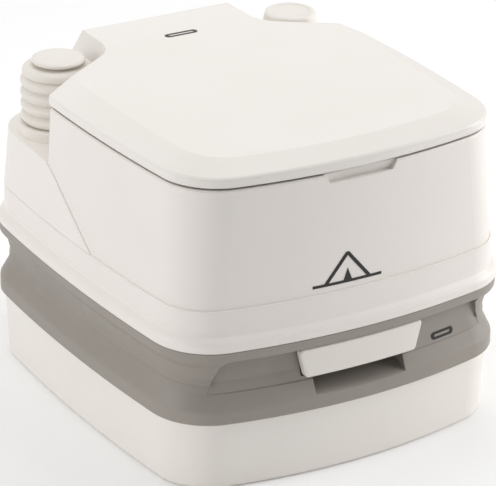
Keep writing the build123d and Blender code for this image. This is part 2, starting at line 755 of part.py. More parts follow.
# raised rear part of each flank, ahead of the bays
with BuildPart() as flank:
    add(tier([SKIRT_LEVELS[-1], SHELF_LEVEL], -1.2))
    add(
        side_plate(
            -HALF_W - 5, HALF_W + 5,
            [
                (-22, FLARE_Z),
                (13, FLARE_Z + 23.5),
                (PORT_Y - 84, SHELF_Z - 10.5),
                (PORT_Y - 64, SHELF_Z),
                (HALF_D + 5, SHELF_Z),
                (HALF_D + 5, FLARE_Z),
            ],
        ),
        mode=Mode.INTERSECT,
    )

with BuildPart() as tank_cavity:
    add(tier(TANK_CAVITY, WALL))
    add(bays(SHELF_Z - WALL, 0.0, RIM_Z + 5, 0.0, grow=WALL), mode=Mode.SUBTRACT)
    add(behind_tank(WALL), mode=Mode.SUBTRACT)
    add(
        box_between(
            (NICHE_LEFT - WALL, NICHE_Y - WALL, TANK_SPLIT - 5),
            (NICHE_RIGHT + WALL, HALF_D, NICHE_TOP + WALL),
        ),
        mode=Mode.SUBTRACT,
    )

with BuildPart() as seat_recess:
    add(tier([Level(DECK_Z, 15.2, 21.3, 56.0), Level(RIM_Z + 2, 15.2, 21.3, 56.0)], 6.0))
    add(bays(DECK_Z - 1, 0.0, RIM_Z + 5, 0.0, grow=6.0), mode=Mode.SUBTRACT)
    add(
        side_plate(
            -HALF_W, HALF_W,
            [(REAR_RIM[0] - 7, DECK_Z - 5), (HALF_D, DECK_Z - 5), (HALF_D, RIM_Z + 9), (REAR_RIM[0] - 7, RIM_Z + 9)],
        ),
        mode=Mode.SUBTRACT,
    )

with BuildPart() as bowl_hole:
    loft(
        [
            bowl_section(DECK_Z - WALL - 2, BOWL_RX + BOWL_WALL, BOWL_RY + BOWL_WALL, BOWL_Y),
            bowl_section(DECK_Z + 2, BOWL_RX + BOWL_WALL, BOWL_RY + BOWL_WALL, BOWL_Y),
        ]
    )

with BuildPart() as grip:
    with BuildSketch(Plane.XZ.offset(HALF_D)):
        with BuildLine():
            Polyline(
                (-GRIP_HALF, RIM_Z + 1), (GRIP_HALF, RIM_Z + 1),
                (GRIP_HALF - 6, GRIP_FOOT), (-GRIP_HALF + 6, GRIP_FOOT),
                close=True,
            )
        make_face()
    extrude(amount=-14.0 - 5.0)

with BuildPart() as flush_tank_shell:
    add(tier(TANK_LEVELS))
    add(flank.part)
    add(bays(SHELF_Z, 0.0, RIM_Z + 5, 0.0), mode=Mode.SUBTRACT)
    add(behind_tank(), mode=Mode.SUBTRACT)
    add(tank_cavity.part, mode=Mode.SUBTRACT)
    add(
        box_between((NICHE_LEFT, NICHE_Y, TANK_SPLIT - 5), (NICHE_RIGHT, HALF_D + 5, NICHE_TOP)),
        mode=Mode.SUBTRACT,
    )
    # sunken seat recess, hinge trough, bowl opening, grip scoop
    add(seat_recess.part, mode=Mode.SUBTRACT)
    add(cross_rod(-PORT_X, PORT_X, HINGE_Y, HINGE_Z, TROUGH_R), mode=Mode.SUBTRACT)
    add(bowl_hole.part, mode=Mode.SUBTRACT)
    add(grip.part, mode=Mode.SUBTRACT)
    # ports through the shelves
    add(rod(PORT_X, PORT_Y, SHELF_Z - 5, SHELF_Z + 1, NECK_R - 3), mode=Mode.SUBTRACT)
    add(rod(-PORT_X, PORT_Y, SHELF_Z - 5, SHELF_Z + 1, SUCTION_R), mode=Mode.SUBTRACT)
    add(rod(HOSE_X, HOSE_Y, SHELF_Z - 5, SHELF_Z + 1, HOSE_R), mode=Mode.SUBTRACT)
    for side in (1, -1):
        add(ear(side))
    # lugs that carry the latch lever's pin
    for low in (LATCH_X - LUG_X - LUG_T, LATCH_X + LUG_X):
        add(
            side_plate(
                low, low + LUG_T,
                [
                    (NICHE_Y - 1, LATCH_Z - 8), (LATCH_Y + 5, LATCH_Z - 5),
                    (LATCH_Y + 5, LATCH_Z + 5), (NICHE_Y - 1, LATCH_Z + 8),
                ],
            )
        )
    add(
        cross_rod(LATCH_X - LUG_X - LUG_T, LATCH_X + LUG_X + LUG_T, LATCH_Y, LATCH_Z, PIN_R - 1),
        mode=Mode.SUBTRACT,
    )
flush_tank_shell.part.label = "flush_tank_shell"
export_step(flush_tank_shell.part, "parts/flush_tank_shell.step")

# ---------------------------------------------------------------- flush tank floor and bowl
FLOOR_Z = TANK_SPLIT + 3.6
FLOOR_T = 2.2
OUTLET_WALL = 4.0
OUTLET_FOOT = SEAL_TOP + 0.2

with BuildPart() as flush_tank_floor:
    add(tier([Level(FLOOR_Z, 1.2, 23.2, 60.0), Level(FLOOR_Z + FLOOR_T, 1.2, 23.2, 60.0)], WALL))
    add(rod(0, VALVE_Y, FLOOR_Z - 1, FLOOR_Z + FLOOR_T + 1, OUTLET_R + OUTLET_WALL), mode=Mode.SUBTRACT)
    add(
        box_between(
            (NICHE_LEFT - WALL, NICHE_Y - WALL, FLOOR_Z - 1), (NICHE_RIGHT + WALL, HALF_D, FLOOR_Z + FLOOR_T + 1)
        ),
        mode=Mode.SUBTRACT,
    )
flush_tank_floor.part.label = "flush_tank_floor"
export_step(flush_tank_floor.part, "parts/flush_tank_floor.step")

GASKET_T = 4.0
BOWL_FOOT = FLOOR_Z + FLOOR_T + GASKET_T + 4.0
NOZZLE_Z = DECK_Z - 10.0
NOZZLE_R = 5.0


def bowl_body(grow, top):
    """Bowl's form above its outlet, grown outwards by grow."""
    steps = 7
    sections = []
    for step in range(steps + 1):
        share = step / steps
        fall = 1 - (1 - share) ** 1.6
        x_radius = mix(OUTLET_R - 3.0, BOWL_RX, share ** 0.75) + grow
        y_radius = mix(OUTLET_R - 2.0, BOWL_RY, share ** 0.75) + grow
        sections.append(bowl_section(mix(BOWL_FOOT, top, share), x_radius, y_radius, mix(VALVE_Y, BOWL_Y, fall)))
    with BuildPart() as solid:
        loft(sections)
    return solid.part


def bowl_prism(low, high, grow):
    """Straight prism with the bowl's mouth as its section."""
    with BuildPart() as solid:
        with BuildSketch(Plane.XY.offset(low)):
            with Locations((0, BOWL_Y)):
                Ellipse(BOWL_RX + grow, BOWL_RY + grow)
        extrude(amount=high - low)
    return solid.part


with BuildPart() as bowl:
    add(bowl_body(BOWL_WALL, DECK_Z + 1))
    add(rod(0, VALVE_Y, OUTLET_FOOT, BOWL_FOOT + 2, OUTLET_R + OUTLET_WALL))
    add(bowl_prism(DECK_Z, DECK_Z + 2.4, 9.0))
    add(bowl_body(0.0, DECK_Z + 2), mode=Mode.SUBTRACT)
    add(bowl_prism(DECK_Z + 0.5, DECK_Z + 3, 0.2), mode=Mode.SUBTRACT)
    add(rod(0, VALVE_Y, OUTLET_FOOT - 1, BOWL_FOOT, OUTLET_R), mode=Mode.SUBTRACT)
    with Locations((0, BOWL_Y + BOWL_RY, NOZZLE_Z)):
        Cylinder(NOZZLE_R, 60, rotation=(90, 0, 0), mode=Mode.SUBTRACT)
bowl.part.label = "bowl"
export_step(bowl.part, "parts/bowl.step")

with BuildPart() as outlet_gasket:
    add(
        ring(
            0, VALVE_Y, FLOOR_Z + FLOOR_T, FLOOR_Z + FLOOR_T + GASKET_T,
            OUTLET_R + OUTLET_WALL + 7, OUTLET_R + OUTLET_WALL,
        )
    )
outlet_gasket.part.label = "outlet_gasket"
export_step(outlet_gasket.part, "parts/outlet_gasket.step")

with BuildPart() as hinge_pins:
    for low in (EAR_X - 1.5, -PIN_END):
        add(cross_rod(low, low + PIN_END - EAR_X + 1.5, HINGE_Y, HINGE_Z, PIN_R))
hinge_pins.part.label = "hinge_pins"
export_step(hinge_pins.part, "parts/hinge_pins.step")

# ---------------------------------------------------------------- pump and fill neck
COLLAR_TOP = SHELF_Z + COLLAR_H
PUMP_FOOT = COLLAR_TOP + 0.3
FOLD_TOP = PUMP_FOOT + FOLDS * FOLD_PITCH
DOME_TOP = PUMP_TOP - BUTTON_T - 3.6
BUTTON_FOOT = PUMP_TOP - BUTTON_T

with BuildPart() as pump_collar:
    add(ring(-PORT_X, PORT_Y, SHELF_Z, COLLAR_TOP, COLLAR_R, COLLAR_R - 8))
    fillet(pump_collar.edges().filter_by(GeomType.CIRCLE).sort_by(Axis.Z)[-2:].sort_by(SortBy.LENGTH)[-1], 1.6)
    add(ring(-PORT_X, PORT_Y, SHELF_Z, SHELF_Z + 3, COLLAR_R - 4, SUCTION_R))
    add(rod(HOSE_X, HOSE_Y, SHELF_Z - 1, SHELF_Z + 4, HOSE_R), mode=Mode.SUBTRACT)
pump_collar.part.label = "pump_collar"
export_step(pump_collar.part, "parts/pump_collar.step")


def bellows_points(inset):
    """Half profile of the bellows, drawn inwards by inset: a groove, a crest and so on, then the dome."""
    waist = BELLOWS_R - FOLD_DEPTH - inset
    crest = BELLOWS_R - inset
    points = [(waist, PUMP_FOOT)]
    for fold in range(FOLDS):
        low = PUMP_FOOT + fold * FOLD_PITCH
        points += [
            (waist, low + 0.6),
            (crest - 0.8, low + 1.6),
            (crest, low + 3.2),
            (crest, low + FOLD_PITCH - 3.2),
            (crest - 0.8, low + FOLD_PITCH - 1.6),
            (waist, low + FOLD_PITCH - 0.6),
        ]
    points += [
        (waist, FOLD_TOP + 0.6),
        (crest - 1.6, FOLD_TOP + 1.8),
        (crest - 2.0, FOLD_TOP + 4.5),
        (crest - 4.5, DOME_TOP - inset - 2.6),
        (crest - 9.5, DOME_TOP - inset),
    ]
    return points


with BuildPart() as pump_bellows:
    with BuildSketch(Plane.XZ):
        with BuildLine():
            Polyline(
                (0, DOME_TOP),
                *reversed(bellows_points(0.0)),
                *bellows_points(BELLOWS_WALL),
                (0, DOME_TOP - BELLOWS_WALL),
                close=True,
            )
        make_face()
    revolve(axis=Axis.Z)
pump_bellows = pump_bellows.part.moved(Location((-PORT_X, PORT_Y, 0)))
pump_bellows.label = "pump_bellows"
export_step(pump_bellows, "parts/pump_bellows.step")

with BuildPart() as pump_button:
    add(rod(-PORT_X, PORT_Y, BUTTON_FOOT, PUMP_TOP, BUTTON_R))
    fillet(pump_button.edges().sort_by(Axis.Z)[-1], 1.8)
    add(rod(-PORT_X, PORT_Y, DOME_TOP + 0.1, BUTTON_FOOT, BUTTON_R - 6))
pump_button.part.label = "pump_button"
export_step(pump_button.part, "parts/pump_button.step")

TUBE_FOOT = FLOOR_Z + FLOOR_T + 12.0

with BuildPart() as suction_tube:
    add(ring(-PORT_X, PORT_Y, TUBE_FOOT, SHELF_Z + 3, SUCTION_R, SUCTION_R - 1.5))
suction_tube.part.label = "suction_tube"
export_step(suction_tube.part, "parts/suction_tube.step")

with BuildPart() as foot_valve:
    add(rod(-PORT_X, PORT_Y, FLOOR_Z + FLOOR_T + 2, TUBE_FOOT, SUCTION_R + 4))
    add(rod(-PORT_X, PORT_Y, FLOOR_Z + FLOOR_T + 1, TUBE_FOOT + 1, SUCTION_R - 1.5), mode=Mode.SUBTRACT)
    with Locations((-PORT_X, PORT_Y, FLOOR_Z + FLOOR_T + 3)):
        Box(2.0, 30.0, 4.0, mode=Mode.SUBTRACT)
        Box(30.0, 2.0, 4.0, mode=Mode.SUBTRACT)
foot_valve.part.label = "foot_valve"
export_step(foot_valve.part, "parts/foot_valve.step")

NOZZLE_BACK = BOWL_Y + BOWL_RY + 24.0

with BuildPart() as flush_hose:
    with BuildLine() as hose_path:
        FilletPolyline(
            (HOSE_X, HOSE_Y, SHELF_Z + 4),
            (HOSE_X, HOSE_Y, SHELF_Z - 26),
            (-PORT_X + 46, PORT_Y - 50, SHELF_Z - 22),
            (-PORT_X + 72, NOZZLE_BACK + 16, NOZZLE_Z),
            (0, NOZZLE_BACK + 16, NOZZLE_Z),
            (0, NOZZLE_BACK, NOZZLE_Z),
            radius=[14.0, 16.0, 16.0, 14.0],
        )
    with BuildSketch(Plane(origin=hose_path.line @ 0, z_dir=hose_path.line % 0)):
        Circle(HOSE_R)
    sweep(path=hose_path.line)
flush_hose.part.label = "flush_hose"
export_step(flush_hose.part, "parts/flush_hose.step")

with BuildPart() as rim_nozzle:
    with Locations((0, (NOZZLE_BACK + BOWL_Y + BOWL_RY - 8) / 2, NOZZLE_Z)):
        Cylinder(NOZZLE_R, NOZZLE_BACK - BOWL_Y - BOWL_RY + 8, rotation=(90, 0, 0))
    with Locations((0, BOWL_Y + BOWL_RY - 6, NOZZLE_Z)):
        Cylinder(NOZZLE_R - 2, 22, rotation=(90, 0, 0), mode=Mode.SUBTRACT)
rim_nozzle.part.label = "rim_nozzle"
export_step(rim_nozzle.part, "parts/rim_nozzle.step")

with BuildPart() as fill_neck:
    add(ring(PORT_X, PORT_Y, SHELF_Z, NECK_TOP, NECK_R, NECK_R - 3))
    add(ring(PORT_X, PORT_Y, SHELF_Z, SHELF_Z + 3, NECK_R + 11, NECK_R - 3))
    for turn in range(3):
        low = NECK_TOP - 6 - 5 * turn
        add(ring(PORT_X, PORT_Y, low - 1.2, low + 1.2, NECK_R + 1, NECK_R - 1), mode=Mode.SUBTRACT)
fill_neck.part.label = "fill_neck"
export_step(fill_neck.part, "parts/fill_neck.step")

CAP_FOOT = CAP_TOP - CAP_H
SEAL_H = 1.8

with BuildPart() as fill_cap_seal:
    add(ring(PORT_X, PORT_Y, NECK_TOP + 0.1, NECK_TOP + SEAL_H, NECK_R - 0.4, NECK_R - 4))
fill_cap_seal.part.label = "fill_cap_seal"
export_step(fill_cap_seal.part, "parts/fill_cap_seal.step")

with BuildPart() as fill_cap:
    with BuildSketch(Plane.XY.offset(CAP_FOOT)) as cap_foot:
        with Locations((PORT_X, PORT_Y)):
            Circle(CAP_FOOT_R)
    with BuildSketch(Plane.XY.offset(CAP_TOP - 2.5)) as cap_upper:
        with Locations((PORT_X, PORT_Y)):
            Circle(CAP_TOP_R + 0.6)
    with BuildSketch(Plane.XY.offset(CAP_TOP)) as cap_crown:
        with Locations((PORT_X, PORT_Y)):
            Circle(CAP_TOP_R - 2.0)
    loft(ruled=True)
    with Locations((PORT_X, PORT_Y, CAP_FOOT + CAP_H / 2)):
        with PolarLocations(CAP_FOOT_R + 5.6, CAP_LOBES):
            Cylinder(8.0, CAP_H + 2, rotation=(0, -10, 0), mode=Mode.SUBTRACT)
    add(rod(PORT_X, PORT_Y, CAP_FOOT - 1, NECK_TOP + SEAL_H, NECK_R + RUN_FIT), mode=Mode.SUBTRACT)
fill_cap.part.label = "fill_cap"
export_step(fill_cap.part, "parts/fill_cap.step")

# ---------------------------------------------------------------- seat
SEAT_FOOT = DECK_Z + 3.5
SEAT_H = 14.0
SEAT_RX = 100.0
SEAT_RY = 110.0
SEAT_EDGE = 9.0            # from the tank's outline at the rim to the seat
SEAT_REAR = HINGE_Y - 44.0


def seat_body(low, high, inset, mouth):
    """Seat's plan between two heights, drawn inwards by inset and open in the middle."""
    with BuildPart() as solid:
        add(tier([Level(low, 15.2, 21.3, 56.0), Level(high, 15.2, 21.3, 56.0)], SEAT_EDGE + inset))
        add(bays(low - 1, 0.3, high + 1, 0.3, grow=SEAT_EDGE + inset), mode=Mode.SUBTRACT)
        add(
            box_between((-HALF_W, SEAT_REAR - inset, low - 1), (HALF_W, HALF_D, high + 1)),
            mode=Mode.SUBTRACT,
        )
        loft(
            [
                bowl_section(low - 1, SEAT_RX + mouth, SEAT_RY + mouth, BOWL_Y),
                bowl_section(high + 1, SEAT_RX + mouth, SEAT_RY + mouth, BOWL_Y),
            ],
            mode=Mode.SUBTRACT,
        )
    return solid.part


with BuildPart() as seat_ring:
    add(seat_body(SEAT_FOOT, SEAT_FOOT + SEAT_H - 3, 0.0, 0.0))
    add(seat_body(SEAT_FOOT + SEAT_H - 3, SEAT_FOOT + SEAT_H, 2.5, 2.5))
    add(seat_body(SEAT_FOOT - 1, SEAT_FOOT + SEAT_H - SEAT_WALL, SEAT_WALL + 1, SEAT_WALL + 1), mode=Mode.SUBTRACT)
    for low in (ARM_X, -ARM_X - ARM_T):
        add(
            side_plate(
                low, low + ARM_T,
                [
                    (SEAT_REAR - 3, SEAT_FOOT + 0.5),
                    (SEAT_REAR + 14, SEAT_FOOT + 0.5),
                    (HINGE_Y + 1, HINGE_Z - 5.8),
                    (HINGE_Y, HINGE_Z),
                    (HINGE_Y - 4, HINGE_Z + 4.4),
                    (SEAT_REAR - 3, SEAT_FOOT + SEAT_H - 3.2),
                ],
            )
        )
        add(cross_rod(low, low + ARM_T, HINGE_Y, HINGE_Z, 6.0))
        add(cross_rod(low - 1, low + ARM_T + 1, HINGE_Y, HINGE_Z, PIN_R + RUN_FIT), mode=Mode.SUBTRACT)
seat_ring.part.label = "seat_ring"
export_step(seat_ring.part, "parts/seat_ring.step")

BUFFER_SPOTS = [(side * 136.0, y) for side in (-1, 1) for y in (BOWL_Y - 78, BOWL_Y + 88)]

with BuildPart() as seat_buffers:
    for x, y in BUFFER_SPOTS:
        add(rod(x, y, DECK_Z + 0.1, SEAT_FOOT + SEAT_H - SEAT_WALL, 7.0))
seat_buffers.part.label = "seat_buffers"
export_step(seat_buffers.part, "parts/seat_buffers.step")

# ---------------------------------------------------------------- lid
CREASE_Y = -HALF_D + CREASE_INSET
TOP_PLANE = Plane(origin=(0, CREASE_Y, CREASE_Z), z_dir=Vector(0, 0, 1).rotate(Axis.X, TOP_SLOPE), x_dir=(1, 0, 0))


def top_outline(inset, drop):
    """Sketch of the crease on the sloping top, lowered by drop."""
    half = HALF_W - SIDE_BOW - CREASE_INSET - inset
    front = inset
    rear = 2 * HALF_D - CREASE_INSET - 14.0
    with BuildSketch(TOP_PLANE.offset(-drop)) as sketch:
        with BuildLine():
            ThreePointArc((-half, front + 15.4), (0, front), (half, front + 15.4))
            ThreePointArc((half, front + 15.4), (half + SIDE_BOW, HALF_D - CREASE_INSET), (half, rear))
            Line((half, rear), (-half, rear))
            ThreePointArc((-half, rear), (-half - SIDE_BOW, HALF_D - CREASE_INSET), (-half, front + 15.4))
        make_face()
        fillet(sketch.vertices(), 45.8)
    return sketch.sketch


def lid_body(inset, drop, foot, rear_shift):
    """Lid's form; for the cavity it is drawn inwards and lowered."""
    with BuildPart() as solid:
        loft(
            [
                outline(Level(foot, 15.0 - 1.5 * (inset > 0), 21.3, 57.5), inset),
                outline(Level(min(foot + 1.4, LID_FOOT + 1.4), 13.5, 21.3, 57.5), inset),
                outline(Level(BAND_Z - 1.8 - drop, 13.5, 19.7, 60.0), inset),
                outline(Level(BAND_Z - drop * 0.9, 15.0, 19.7, 60.0), inset),
                top_outline(inset, drop),
            ],
            ruled=True,
        )
        add(bays(RIM_Z - 8, -0.35, RIM_Z + 40, 1.5, grow=inset), mode=Mode.SUBTRACT)
        add(behind_lid(rear_shift), mode=Mode.SUBTRACT)
    return solid.part


NOTCH_LOW = EAR_X - HINGE_GAP
NOTCH_HIGH = RIB_X + RIB_T + 2.5
LID_BUFFER_SPOTS = [(side * 118.0, y) for side in (-1, 1) for y in (BOWL_Y - 78, BOWL_Y + 88)]

with BuildPart() as lid:
    add(lid_body(0.0, 0.0, LID_FOOT, 0.0))
    add(lid_body(LID_WALL, LID_WALL, LID_FOOT - 3, LID_WALL), mode=Mode.SUBTRACT)
    for low in (NOTCH_LOW, -NOTCH_HIGH):
        high = low + NOTCH_HIGH - NOTCH_LOW
        add(
            box_between((low, HINGE_Y, LID_FOOT - 2), (high, HALF_D, LID_TOP_REAR - LID_WALL - 0.3)),
            mode=Mode.SUBTRACT,
        )
    # ribs that carry the lid on the hinge pins
    for low in (RIB_X, -RIB_X - RIB_T):
        add(
            side_plate(
                low, low + RIB_T,
                [
                    (HINGE_Y - 34, LID_TOP_REAR - LID_WALL - 0.2),
                    (HINGE_Y + 2, LID_TOP_REAR - LID_WALL - 0.2),
                    (HINGE_Y + 4, HINGE_Z),
                    (HINGE_Y, HINGE_Z - 5),
                    (HINGE_Y - 5, HINGE_Z),
                    (HINGE_Y - 22, HINGE_Z + 4),
                ],
            )
        )
        add(cross_rod(low, low + RIB_T, HINGE_Y, HINGE_Z, 6.0))
        add(cross_rod(low - 1, low + RIB_T + 1, HINGE_Y, HINGE_Z, PIN_R + RUN_FIT), mode=Mode.SUBTRACT)
lid.part.label = "lid"
export_step(lid.part, "parts/lid.step")

with BuildPart() as lid_buffers:
    for x, y in LID_BUFFER_SPOTS:
        add(rod(x, y, SEAT_FOOT + SEAT_H + 0.1, CREASE_Z - 1.0, 5.0))
    add(lid.part, mode=Mode.SUBTRACT)
lid_buffers.part.label = "lid_buffers"
export_step(lid_buffers.part, "parts/lid_buffers.step")

# ---------------------------------------------------------------- generic printed marks
FRONT_MARK_X = -16.0
FRONT_MARK_Z = 205.0

with BuildPart() as front_mark:
    with BuildSketch(Plane.XZ.offset(HALF_D - 30)):
        with BuildLine():
            Polyline(
                (FRONT_MARK_X - 37, FRONT_MARK_Z - 15), (FRONT_MARK_X + 37, FRONT_MARK_Z - 15),
                (FRONT_MARK_X + 37, FRONT_MARK_Z - 12.4), (FRONT_MARK_X + 25, FRONT_MARK_Z - 12.4),
                (FRONT_MARK_X + 1.6, FRONT_MARK_Z + 15), (FRONT_MARK_X - 1.6, FRONT_MARK_Z + 15),
                (FRONT_MARK_X - 25, FRONT_MARK_Z - 12.4), (FRONT_MARK_X - 37, FRONT_MARK_Z - 12.4),
                close=True,
            )
        make_face()
        with BuildLine():
            Polyline(
                (FRONT_MARK_X - 20.5, FRONT_MARK_Z - 12.4), (FRONT_MARK_X - 4.5, FRONT_MARK_Z - 12.4),
                (FRONT_MARK_X, FRONT_MARK_Z - 1.0),
                (FRONT_MARK_X + 4.5, FRONT_MARK_Z - 12.4), (FRONT_MARK_X + 20.5, FRONT_MARK_Z - 12.4),
                (FRONT_MARK_X, FRONT_MARK_Z + 11.6),
                close=True,
            )
        make_face(mode=Mode.SUBTRACT)
    extrude(amount=40)
    add(tier([SKIRT_LEVELS[-1], SHELF_LEVEL], -MARK_T), mode=Mode.INTERSECT)
    add(tier([SKIRT_LEVELS[-1], SHELF_LEVEL]), mode=Mode.SUBTRACT)
front_mark.part.label = "front_mark"
export_step(front_mark.part, "parts/front_mark.step")

with BuildPart() as lid_mark:
    with BuildSketch(TOP_PLANE):
        with Locations((-2, 126 - CREASE_Y)):
            SlotOverall(36, 8)
            SlotOverall(28, 3, mode=Mode.SUBTRACT)
    extrude(amount=MARK_T)
lid_mark.part.label = "lid_mark"
export_step(lid_mark.part, "parts/lid_mark.step")

with BuildPart() as level_mark:
    with BuildSketch(Plane.XZ.offset(HALF_D - 45)):
        with Locations((101, 105.2)):
            SlotOverall(28, 7)
            SlotOverall(20, 2.6, mode=Mode.SUBTRACT)
    extrude(amount=50)
    add(tier(PANEL_LEVELS[1:], -MARK_T), mode=Mode.INTERSECT)
    add(tier(PANEL_LEVELS[1:]), mode=Mode.SUBTRACT)
level_mark.part.label = "level_mark"
export_step(level_mark.part, "parts/level_mark.step")
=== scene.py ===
"""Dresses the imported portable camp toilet: finishes, fine outer pieces, studio and camera."""

import logging
import math
from collections.abc import Callable
from dataclasses import dataclass, field
from enum import Enum

import bmesh
import bpy
from mathutils import Matrix, Vector


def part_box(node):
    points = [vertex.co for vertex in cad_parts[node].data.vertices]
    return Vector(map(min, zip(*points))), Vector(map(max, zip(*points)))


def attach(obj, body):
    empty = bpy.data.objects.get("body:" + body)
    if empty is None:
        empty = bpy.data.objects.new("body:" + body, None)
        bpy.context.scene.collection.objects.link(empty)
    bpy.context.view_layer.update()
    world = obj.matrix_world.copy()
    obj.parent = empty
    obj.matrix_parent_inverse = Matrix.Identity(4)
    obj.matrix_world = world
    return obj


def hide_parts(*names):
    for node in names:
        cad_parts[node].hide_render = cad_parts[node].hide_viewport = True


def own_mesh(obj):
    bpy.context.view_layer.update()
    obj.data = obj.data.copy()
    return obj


LOG = logging.getLogger("camp_toilet")
MM = 0.001
DRIFT_MM = 90.0  # over this distance the colour drifts
SCUFF_MM = 14.0  # spacing of the scuffs
BEAD_SIDES = 10  # flats round a fine bead


# ------------------------------------------------------------------ colours and nodes
def linear(hex_colour: str) -> tuple[float, float, float, float]:
    """Turns an sRGB hex colour into linear light.

    Args:
        hex_colour: Six hex digits, with or without a leading hash.

    Returns:
        Linear red, green and blue, with alpha 1.
    """
    digits = hex_colour.lstrip("#")
    channels = []
    for start in (0, 2, 4):
        value = int(digits[start:start + 2], 16) / 255
        channels.append(value / 12.92 if value <= 0.04045 else ((value + 0.055) / 1.055) ** 2.4)
    return (channels[0], channels[1], channels[2], 1.0)


def add_node(
    tree: bpy.types.NodeTree,
    kind: str,
    settings: dict[str, object] | None = None,
    inputs: dict[str, object] | None = None,
    links: dict[str, bpy.types.NodeSocket] | None = None,
) -> bpy.types.Node:
    """Adds a node with its settings, socket values and links.

    Args:
        tree: The node tree to add to.
        kind: Blender's name of the node type.
        settings: Attributes of the node.
        inputs: Values of its input sockets.
        links: Output sockets that feed its input sockets.

    Returns:
        The new node.
    """
    node = tree.nodes.new(kind)
    for name, value in (settings or {}).items():
        setattr(node, name, value)
    for name, value in (inputs or {}).items():
        node.inputs[name].default_value = value
    for name, source in (links or {}).items():
        tree.links.new(source, node.inputs[name])
    return node


class Texture(Enum):
    """How the surface of a moulding was made."""

    FINE_SPARK = "fine_spark"
    POLISHED = "polished"
    BRUSHED = "brushed"
    SOFT = "soft"


